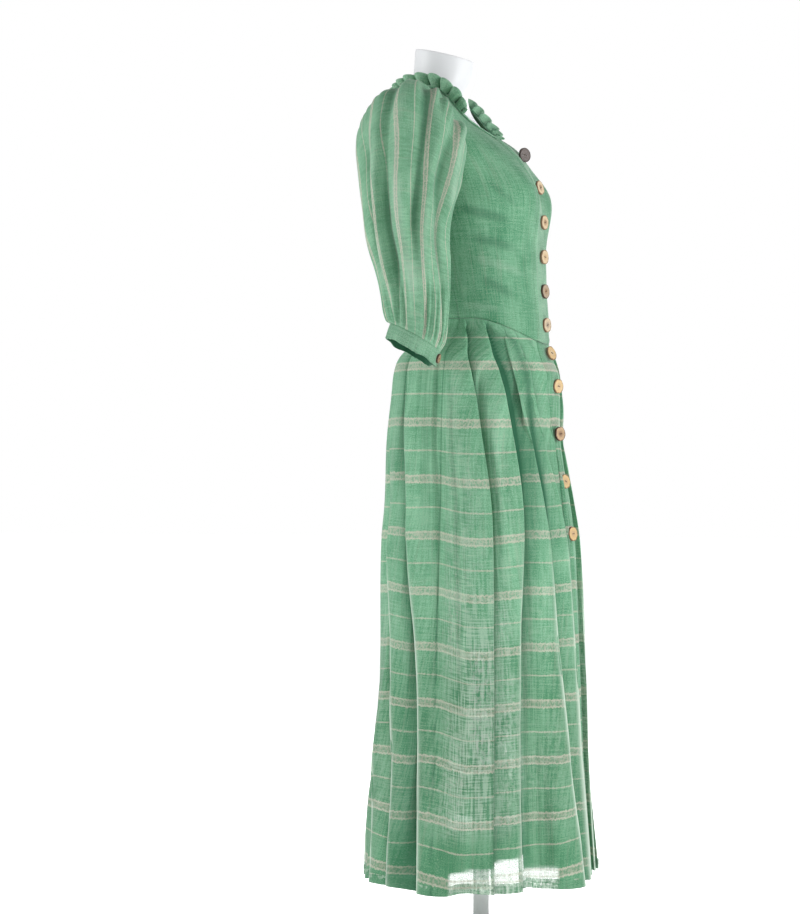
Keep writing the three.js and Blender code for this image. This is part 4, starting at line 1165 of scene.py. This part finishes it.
def run_of(line):
    """The length along a line of points, up to each of them."""
    return np.concatenate([[0], np.cumsum(np.linalg.norm(np.diff(line, axis=0), axis=1))])


def read_line(at, run, line):
    """The points of a line, or its normals, at lengths along it."""
    return np.stack([np.interp(at, run, line[:, k]) for k in range(3)], -1)


turns = np.linspace(-math.pi / 2, 1.5 * math.pi, 1400)
x, y = neck_place(turns, BINDING_WIDTH / 2)
kept = (turns < math.pi / 2) & (y > FRILL_RIGHT_END) | (turns >= math.pi / 2) & (y > FRILL_LEFT_END)
line = np.stack([x, y, shoulder_height(x, y)], -1)[kept]
run = run_of(line)
s = np.linspace(0, run[-1], FRILL_COLUMNS)
lobes = round(run[-1] / FRILL_PITCH)
phase = 2 * math.pi * s / run[-1] * lobes + 0.9 * np.sin(s / 23) + 0.6 * np.sin(s / 11 + 1)
ends = smooth(np.minimum(s, run[-1] - s), 0, 26)
height = FRILL_HEIGHT * (0.45 + 0.55 * ends) * (1 + 0.08 * np.sin(s / 17 + 2))
height = height * (1 - 0.35 * smooth(read_line(s, run, line)[:, 0], 0, 40))


def standing(p):
    """Straight out from the figure's upper face."""
    x, y = p[:, 0], p[:, 1]
    slope_x = (shoulder_height(x + 1, y) - shoulder_height(x - 1, y)) / 2
    slope_y = (shoulder_height(x, y + 1) - shoulder_height(x, y - 1)) / 2
    return unit(np.stack([-slope_x, -slope_y, np.ones(len(p))], -1))


along = unit(np.gradient(read_line(s, run, line), axis=0))
grid = []
for share, out in FRILL_SECTION:
    reach = LOBE_REACH * (0.4 + 0.6 * np.sin(math.pi * 0.68 * share)) * (0.6 + 0.4 * ends)
    at = np.clip(s + LOBE_ROLL * (0.35 + 0.65 * share) * np.sin(phase), 0, run[-1])
    p = read_line(at, run, line)
    up = standing(p)
    outward = np.cross(along, up)
    outward *= np.sign((outward * (p - [0, NECK_MID, 1340])).sum(-1, keepdims=True))
    rise = 2.1 + height * (1 + 0.34 * np.cos(phase)) * share
    out = out + reach * np.cos(phase) + 2.5 * share**2
    grid.append(p + up * rise[:, None] + outward * out[:, None])
points = np.stack(grid, 1)
across = run_of(FRILL_SECTION * (STRIP_HEIGHT, 1)) / 1000
cloth = np.stack(np.broadcast_arrays(s[:, None] * FRILL_GATHERED / 1000, 4 + across), -1)
# Painted shade between the lobes, and painted highlight on them.
lobe_shade = (0.75 * smooth(-np.cos(phase), 0.1, 0.9))[:, None] + 0 * across
frill = cloth_mesh("neck_frill", points, cloth, marks={"hollow": lobe_shade, "painted_highlight": 0.16 * (1 - lobe_shade)})
edit_all(frill, partial(bpy.ops.mesh.normals_make_consistent, inside=False))
finish_piece(frill, "gathered_frill", plain_linen, "linen", "neck_frill")


# ---- Sleeves ----------------------------------------------------------------------------------
# Each is one piece of the striped cloth with its stripes lengthwise, gathered into the armhole
# and again into the cuff, so that it stands out in soft lengthwise folds.

# The sleeve's rings, from its head to the cuff: the inmost and outmost points, how far back the
# middle is, half the depth, and how much higher the ring lies at its back.
SLEEVE = table("inX inZ outX outZ mid half rise", [
    (157, 1160, 190, 1337, 66, 68, 0),
    (160, 1148, 226, 1330, 66, 82, 0),
    (161, 1136, 252, 1298, 65, 80, 0),
    (160, 1120, 264, 1246, 65, 73, 0),
    (158, 1098, 266, 1186, 67, 66, 0),
    (156, 1064, 262, 1122, 67, 59, 0),
    (157, 1028, 254, 1062, 61, 54, 2),
    (160, 993, 247, 1017, 57, 49, 6),
    (165, 958, 241, 978, 57, 44, 14),
    (169, 944, 238, 960, 58, 38, 20),
])
SLEEVE_COLUMNS, SLEEVE_ROWS = 288, 170
SLEEVE_PER_RADIAN, SLEEVE_STRIPE, SLEEVE_LENGTH = 0.140, 0.0777, 0.40  # in metres of flat cloth
# Lengthwise folds: their angles at the head and the cuff, from where to where down the sleeve
# they run, how wide they are and how far they stand out.
SLEEVE_FOLDS = table("head cuff first last width height", [
    (168, 150, 0.02, 0.62, 9, 7),
    (151, 138, 0.00, 0.34, 5, -9),
    (142, 130, 0.00, 0.30, 6, 6),
    (131, 120, 0.00, 0.28, 4.5, -13),
    (120, 112, 0.00, 0.26, 6, 8),
    (152, 140, 0.20, 0.60, 8, -7),
    (132, 124, 0.20, 0.95, 11, 6),
    (112, 108, 0.05, 0.80, 7, -7),
    (90, 92, 0.02, 0.98, 10, 6.5),
    (70, 74, 0.04, 0.90, 8, -7),
    (50, 56, 0.22, 1.00, 11, 6),
    (30, 38, 0.26, 0.85, 8, -6),
    (6, 12, 0.15, 1.00, 12, 4),
    (186, 170, 0.20, 1.00, 10, 4),
    (146, 158, 0.45, 1.00, 8, -5),
    (84, 62, 0.50, 1.00, 8, -4.5),
    (206, 200, 0.30, 1.00, 12, -3),
    (236, 230, 0.30, 0.95, 13, 3),
    (268, 262, 0.35, 1.00, 14, -3),
    (300, 304, 0.30, 0.95, 12, 3),
    (332, 336, 0.25, 1.00, 12, -3.5),
])


def armhole_ring(angle, outward, clear=0.4):
    """A ring just inside the armhole's edge, moved out along the shoulder."""
    y, z = armhole_place(angle, armhole_share(angle), clear)
    return np.stack([-side_reach(y, z) - outward, y, z], -1)


def sleeve_ring(k, angle):
    """The ring of one row of the table, before any folds."""
    f = (1 + np.sin(angle)) / 2
    at = {name: SLEEVE[name][k] for name in SLEEVE}
    x = -(at["inX"] + (at["outX"] - at["inX"]) * f)
    z = at["inZ"] + (at["outZ"] - at["inZ"]) * f + at["rise"] * np.cos(angle)
    return np.stack([x, at["mid"] + at["half"] * np.cos(angle), z], -1)


def sleeve_folds(angle, share, side):
    """How far the folds and gathers of a sleeve stand out."""
    degrees = np.degrees(angle) % 360
    total = 0
    for head, cuff, first, last, width, height in zip(*SLEEVE_FOLDS.values()):
        centre = head + (cuff - head) * share + 5.5 * np.sin(6 * share + head)
        apart = (degrees - centre - (5 if side > 0 else 0) + 180) % 360 - 180
        ends = hill(share, first, first + 0.14, last - 0.16, last)
        total = total + height * ends * bell(apart, width)
    drift = 1.1 * np.sin(3 * angle + 1.7 * side) + 0.6 * np.sin(7 * angle + 4 * share)
    gather = np.abs(np.sin(10 * angle + 1.5 * drift)) ** 0.8 - 0.6
    fine = np.abs(np.sin(19 * angle + 2.2 * drift)) - 0.6
    top = smooth(np.sin(angle), -0.5, 0.2) * hill(share, 0.0, 0.03, 0.06, 0.34)
    top = top * (0.45 + 0.55 * smooth(-np.cos(angle), -0.4, 0.3))
    foot = hill(share, 0.74, 0.96, 0.975, 1.0)
    total = total + top * (5.6 * gather + 2.2 * fine) + foot * (5.0 * gather + 2.0 * fine)
    soft = np.sin(4 * angle + 9 * share) * np.sin(13 * share + 2 * angle)
    soft = soft + 0.5 * np.sin(9 * angle - 11 * share)
    return 1.15 * total + 1.8 * soft * hill(share, 0.05, 0.2, 0.85, 1)


def to_side(p, side):
    """The left sleeve mirrors the right one, flatter and hanging a little further back."""
    if side < 0:
        return p
    away = smooth(-p[..., 0], 160, 185)
    hung = 66 + (p[..., 1] - 66) * 0.93 + 8
    return np.stack([-p[..., 0], p[..., 1] + (hung - p[..., 1]) * away, p[..., 2]], -1)


def make_sleeve(side, name, node, material):
    """One sleeve, from the armhole's seam to the cuff."""
    angle = -np.linspace(0, 2 * math.pi, SLEEVE_COLUMNS, endpoint=False)
    rings = [armhole_ring(angle, -1.0), armhole_ring(angle, 1.5)]
    rings = np.stack(rings + [sleeve_ring(k, angle) for k in range(len(SLEEVE["mid"]))])
    places = run_of(rings[:, np.argmax(np.sin(angle))])
    angle, f = angle[:, None], np.linspace(0, 1, SLEEVE_ROWS)[None, :]
    points = curve(places, rings, places[-1] * f[0]).transpose(1, 0, 2)
    rise = sleeve_folds(angle, f, side)
    points = to_side(points + normals_of(points, closed=True) * rise[..., None], side)
    # Painted shade in the folds' valleys, and painted highlight on their ridges.
    marks = {"hollow": 0.60 * smooth(-rise, 1.5, 8.5), "painted_highlight": 0.28 * smooth(rise, 4, 12)}
    wander = 0.0065 * np.sin(8 * f + 2 * angle) + 0.003 * np.sin(17 * f + 5 * angle)
    around = wander * smooth(f, 0.02, 0.2) - angle * SLEEVE_PER_RADIAN
    cloth = np.stack([f * SLEEVE_LENGTH + 0 * angle, around], -1)
    if side > 0:
        points, cloth = points[::-1], cloth[::-1]
        marks = {word: values[::-1] for word, values in marks.items()}
    piece = cloth_mesh(name, points, cloth, closed=True, marks=marks)
    finish_piece(piece, name, material, "linen", node)


# pale paints an even lift of light on the sleeves.
sleeve_linen = linen(
    "sleeve_linen", striped=True, pale=0.08, stripe_start=SLEEVE_STRIPE, stripe_half=0.0042
)
make_sleeve(-1, "right_sleeve", "sleeve_right", sleeve_linen)
make_sleeve(1, "left_sleeve", "sleeve_left", sleeve_linen)


# ---- Cuffs ------------------------------------------------------------------------------------
# A doubled band of the plain cloth holds each sleeve's gathers. Four rows of topstitching run
# round it, its lower edge has gone a little wavy, and one small horn button closes it in front.

CUFF_WIDTH, CUFF_WALL, CUFF_ROWS, CUFF_STITCH = 23, 2.0, 24, 2.8


def cuff_points(side):
    """The cuff's outer face, hanging from the sleeve's last ring."""
    angle = -np.linspace(0, 2 * math.pi, 220, endpoint=False)[:, None]
    ring = to_side(sleeve_ring(len(SLEEVE["mid"]) - 1, angle), side)
    lean = unit(np.array([0.15 * side, 0.28, -0.94]))
    f = np.linspace(0, 1, CUFF_ROWS)[None, :]
    wave = 1.5 * np.sin(5 * angle + side) + 0.9 * np.sin(9 * angle + 2)
    length = 0.3 + f * (CUFF_WIDTH + 0.6 * wave)
    rise = wave * 0.9 * f**2 + 0.5 * np.sin(math.pi * f)
    puckers = np.sin(40 * angle + 3 * np.sin(5 * angle))
    rise = rise + 0.22 * np.sin(9 * math.pi * f) * puckers
    points = ring + lean * length[..., None] + unit(ring - ring.mean(0)) * rise[..., None]
    return angle, f, points


def shade_inside(piece, outer_points):
    """Marks a wall's inner face, whose points follow those of its outer face, with painted shade.
    """
    attribute = piece.data.attributes.new("hollow", "FLOAT", "POINT")
    values = np.zeros(len(piece.data.vertices), np.float32)
    values[outer_points:] = 1.25
    attribute.data.foreach_set("value", values)


for side, word in ((-1, "right"), (1, "left")):
    angle, f, points = cuff_points(side)
    cloth = np.stack(np.broadcast_arrays(-angle * 0.04, 6 + f * CUFF_WIDTH / 1000), -1)
    if side > 0:
        points, cloth = points[::-1], cloth[::-1]
    normal = normals_of(points, closed=True)
    for row in (4, 9, 14, 19):
        once_round = [np.concatenate([grid[:, row], grid[:1, row]]) for grid in (points, normal)]
        thread_lines.append((*once_round, CUFF_STITCH))
    cuff = cloth_mesh(f"{word}_cuff", points, cloth, closed=True)
    soft_wall(cuff, CUFF_WALL)
    shade_inside(cuff, points.shape[0] * points.shape[1])
    finish_piece(cuff, f"{word}_cuff", painted_light_linen, "linen", f"cuff_{word}")


# ---- Buttons ----------------------------------------------------------------------------------
# Eleven slices of stag's antler, 23 mm across and 3.4 mm thick, and one of 15 mm on each cuff.
# Each is sawn across the antler, polished, drilled twice and sewn on, with the bark left round it.

def antler(name, light, core, bark, blush):
    """A polished slice: bark at the rim, pale dense bone inside it and a porous core."""
    material, shade = new_material(name)
    disc = shade.node("UVMap", {"uv_map": "slice"})
    length = disc.node("VectorMath", {"operation": "LENGTH"}, {0: disc}, out=1)
    wobble = shade.noise(shade.stretched(disc, 2.2, 2.2), 1, 3) - 0.5
    away = length + wobble * 0.42
    pores = shade.noise(shade.stretched(disc, 22, 22), 1, 2)
    rings = (away * 34 + wobble * 9).maths("SINE")
    colour = away.between(0.22, 0.55).blend(core, light)
    colour = (wobble * 1.6 + 0.25).clamped().blend(colour, blush)
    colour = (rings * 0.09 + 0.08).clamped().blend(colour, core)
    colour = (pores.between(0.52, 0.68) * (1 - away.between(0.3, 0.8)) * 0.7).blend(colour, bark)
    colour = away.between(0.80, 0.93).blend(colour, bark)
    rough_rim = away.between(0.86, 0.95) * shade.noise(shade.stretched(disc, 16, 16), 1, 3) * 2
    relief = (pores * 0.5 + rough_rim).bump(0.4, 0.0004)
    roughness = away.between(0.78, 0.92) * 0.35 + 0.34
    shade.surface({"Base Color": colour, "Roughness": roughness, "Normal": relief})
    return material


def slice_master(radius, thick, hole):
    """A flat round slice lying on the origin, with soft edges and two thread holes."""
    deselect()
    bpy.ops.mesh.primitive_cylinder_add(vertices=64, radius=radius, depth=thick)
    slab = bpy.context.object
    select_faces(slab, lambda middle, normal: abs(normal.z) > 0.9)
    for share in (0.12, 0.25):
        bpy.ops.mesh.inset(thickness=radius * share, use_individual=True)
    bpy.ops.object.mode_set(mode="OBJECT")
    apply_modifier(slab, "BEVEL", width=0.0006, segments=2, limit_method="ANGLE")
    for x in (-1, 1):
        bpy.ops.mesh.primitive_cylinder_add(
            vertices=16, radius=hole, depth=thick * 3, location=(x * hole * 2.1, 0, 0)
        )
        drill = bpy.context.object
        apply_modifier(slab, "BOOLEAN", object=drill, operation="DIFFERENCE", solver="EXACT")
        bpy.data.objects.remove(drill, do_unlink=True)
    return slab


def spots_of(mesh):
    """A mesh's vertices as an array."""
    spots = np.empty(len(mesh.vertices) * 3)
    mesh.vertices.foreach_get("co", spots)
    return spots.reshape(-1, 3)


def cad_disc(node):
    """The middle of a CAD button and the way that it faces."""
    spots = spots_of(frame["nodes"][node].data)
    face = np.linalg.eigh(np.cov((spots - spots.mean(0)).T))[1][:, 0]
    return spots.mean(0), face if face[1] < 0 else -face


def lay_slice(master, name, node, material, seed, size, tilt, droop=0):
    """An uneven copy of the master slice, with its bark's own outline, laid where the CAD has it
    and tilted on its thread towards the wearer's right and down, in degrees."""
    random = np.random.default_rng(seed)
    random.uniform(size=2)  # the first two draws are left out
    radius, thick, hole = size
    mesh = master.data.copy()
    copy = new_piece(name, mesh)
    spots = spots_of(mesh)
    loops = np.empty(len(mesh.loops), int)
    mesh.loops.foreach_get("vertex_index", loops)
    for layer in list(mesh.uv_layers):
        mesh.uv_layers.remove(layer)
    layer = mesh.uv_layers.new(name="slice")
    layer.data.foreach_set("uv", (spots[loops, :2] / radius).astype(np.float32).ravel())
    angle = np.arctan2(spots[:, 1], spots[:, 0])
    away = np.hypot(spots[:, 0], spots[:, 1]) / radius
    swell = -0.012
    for k in range(2, 9):
        height = random.uniform(0.004, 0.022) / k**0.4
        swell = swell + height * np.cos(k * angle + random.uniform(0, 6.28))
    spots[:, :2] *= (1 + swell * smooth(away, 0.3, 1.0))[:, None]
    middle, face = cad_disc(node)
    sink = radius * math.sin(math.radians(droop))
    off_cloth = radius * math.sin(math.radians(tilt)) * 0.75 + sink * 0.45
    middle = middle + face * off_cloth - np.array([0, 0, 0.55 * sink])
    level = Vector(face).cross(Vector((0, 0, 1))).normalized()
    face = Matrix.Rotation(math.radians(-droop), 3, level) @ Vector(face)
    face = np.array(Matrix.Rotation(math.radians(-tilt), 3, "Z") @ face)
    up = unit(np.array([0, 0, 1]) - face * face[2])
    spin = random.uniform(-0.5, 0.5)
    first = np.cross(up, face) * math.cos(spin) + up * math.sin(spin)
    second = np.cross(face, first)
    placed = middle + spots[:, :1] * first + spots[:, 1:2] * second + spots[:, 2:] * face
    mesh.vertices.foreach_set("co", placed.ravel())
    mesh.update()
    pick(copy)
    bpy.ops.object.shade_smooth_by_angle(angle=math.radians(40))
    finish_piece(copy, name, material, "horn", node)
    return middle, face, first, second, thick, hole


CREAM, TAN, YELLOW = (0.62, 0.50, 0.33), (0.50, 0.35, 0.20), (0.60, 0.42, 0.19)
GREY, BROWN = (0.34, 0.28, 0.21), (0.22, 0.13, 0.075)
DARK, CORE, BLACKISH = (0.075, 0.042, 0.026), (0.26, 0.16, 0.09), (0.040, 0.024, 0.020)
BUTTONS = [  # bone, core, bark and blush, then the tilt and droop in degrees, from the top
    (BLACKISH, BLACKISH, BLACKISH, DARK, 34, 38), (CREAM, CORE, BROWN, CREAM, 24, 6),
    (CREAM, CORE, BROWN, TAN, 19, 0), (CREAM, TAN, BROWN, TAN, 15, 0),
    (GREY, CORE, DARK, TAN, 15, 0), (CREAM, GREY, BROWN, GREY, 16, 0),
    (YELLOW, CREAM, BROWN, TAN, 20, 0), (YELLOW, TAN, BROWN, CREAM, 22, 0),
    (TAN, CORE, DARK, BROWN, 24, 0), (YELLOW, TAN, BROWN, TAN, 18, 0),
    (YELLOW, TAN, BROWN, TAN, 16, 0),
]
# In metres: a slice's radius, its thickness and its holes' radius.
FRONT_SIZE = (0.0115, 0.0034, 0.00095)
CUFF_SIZE = (0.0075, 0.0028, 0.0008)
FIRST_SEED, CUFF_SEED = 40, 70
sewn = []
master = slice_master(*FRONT_SIZE)
for k, (*tints, tilt, droop) in enumerate(BUTTONS):
    name, node = f"antler_button_{k + 1}", f"button_{k + 1}"
    material = antler(f"antler_{k + 1}", *tints)
    sewn.append(lay_slice(master, name, node, material, FIRST_SEED + k, FRONT_SIZE, tilt, droop))
bpy.data.objects.remove(master, do_unlink=True)
master = slice_master(*CUFF_SIZE)
cuff_antler = antler("antler_cuff", BROWN, CORE, DARK, TAN)
for word in ("right", "left"):
    name, node = f"{word}_cuff_slice", f"cuff_button_{word}"
    sewn.append(lay_slice(master, name, node, cuff_antler, CUFF_SEED, CUFF_SIZE, 0))
bpy.data.objects.remove(master, do_unlink=True)


# ---- Buttonholes and stitching ------------------------------------------------------------------
# Sewing thread, a little paler than the cloth. Each buttonhole is a cut 22 mm long between two
# rows of satin stitches, single rows of lock stitches hold the edges down, and two passes of brown
# thread hold each button.

SLIT, SATIN = (1.25, 0.7, 0.12), (1.5, 0.5, 0.55)  # a bar's length, width and height
HOLE_FROM, HOLE_TO = 2, -20  # along the band, from the button line towards its sewn edge
BAR_FOOT = [(-1, -1, 0), (1, -1, 0), (1, 1, 0), (-1, 1, 0)]
BAR_TOP = [(-0.8, -0.6, 1), (0.8, -0.6, 1), (0.8, 0.6, 1), (-0.8, 0.6, 1)]
BAR_FACES = [(3, 2, 1, 0), (4, 5, 6, 7), (0, 1, 5, 4), (1, 2, 6, 5), (2, 3, 7, 6), (3, 0, 4, 7)]


def little_bars(name, material, slot_name, bars):
    """One mesh of many short bars of thread. Each group of bars has middles, directions, ways up
    and sizes."""
    middles, along, up, sizes = (np.concatenate(part) for part in zip(*bars))
    across = np.cross(up, along)
    length, width, high = sizes[:, :1] / 2, sizes[:, 1:2] / 2, sizes[:, 2:]
    corners = [
        middles + along * (a * length) + across * (b * width) + up * (c * high)
        for a, b, c in BAR_FOOT + BAR_TOP
    ]
    faces = (np.array(BAR_FACES)[None] + 8 * np.arange(len(middles))[:, None, None]).reshape(-1, 4)
    mesh = bpy.data.meshes.new(name)
    mesh.from_pydata((np.stack(corners, 1).reshape(-1, 3) / 1000).tolist(), [], faces.tolist())
    finish_piece(new_piece(name, mesh), name, material, slot_name)


def plain_material(name, colour, roughness):
    """One even colour, for what is too small to show more."""
    material, shade = new_material(name)
    shade.surface({"Base Color": colour, "Roughness": roughness})
    return material


thread_material, shade = new_material("thread")
twist = shade.noise(shade.node("TexCoord", out="Object"), 1800, 1)
thread_colour = twist.blend((0.22, 0.42, 0.28), (0.42, 0.60, 0.46))
shade.surface({"Base Color": thread_colour, "Roughness": 0.7})

stitches = []
for line, normals, pitch in thread_lines:
    run = run_of(line)
    at = np.arange(pitch / 2, run[-1] - 1, pitch)
    spot, up = read_line(at, run, line), unit(read_line(at, run, normals))
    way = unit(read_line(at + 0.5, run, line) - spot)
    size = np.tile([pitch * 0.72, 0.55, 0.4], (len(at), 1))
    stitches.append((spot - up * 0.12, way, up, size))
little_bars("topstitching", thread_material, "linen", stitches)

slits, satin = [], []
for middle, *_ in sewn[: len(BUTTONS)]:
    z = middle[2] * 1000
    surface = FIGURE if z > WAIST_Z - WAIST_DIP + 4 else SKIRT
    row = np.linspace(HOLE_FROM, HOLE_TO, 45)
    levels = z + np.array([-0.8, 0.0, 0.8])
    turns = np.stack([front_turn(levels, CLOSURE_X + x, surface) for x in row])
    heights = np.repeat(levels[None, :], len(row), 0)
    p = bodice(turns, heights, BAND_LIFT)[0] if surface is FIGURE else skirt(turns, heights)[0]
    out = normals_of(p)
    if surface is SKIRT:
        p = p + out * BAND_LIFT
    along, out = unit(np.gradient(p[:, 1], axis=0)), out[:, 1]
    low, cut, high = p.transpose(1, 0, 2)
    spots = cut[::2] + out[::2] * 0.02
    slits.append((spots, along[::2], out[::2], np.tile(SLIT, (len(spots), 1))))
    for edge in (low, high):
        ways = unit(low - high)
        satin.append((cut + (edge - cut) * 1.1, ways, out, np.tile(SATIN, (len(cut), 1))))
slit_shadow = plain_material("slit_shadow", (0.02, 0.06, 0.035), 0.9)
little_bars("buttonhole_slits", slit_shadow, "linen", slits)
little_bars("buttonhole_stitches", thread_material, "linen", satin)

loops = []
for middle, face, first, second, thick, hole in sewn:
    for offset in (-0.35, 0.35):
        spot = (middle + face * thick / 2) * 1000 + second * offset - face * 0.1
        size = (hole * 4200 + 0.5, 0.6, 0.5)
        loops.append([np.array([part]) for part in (spot, first, face, size)])
brown_thread = plain_material("brown_thread", (0.10, 0.07, 0.045), 0.8)
little_bars("button_thread", brown_thread, "horn", loops)


size = {"cad": [list(c) for c in cad_box], "visual": [list(c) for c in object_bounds()]}
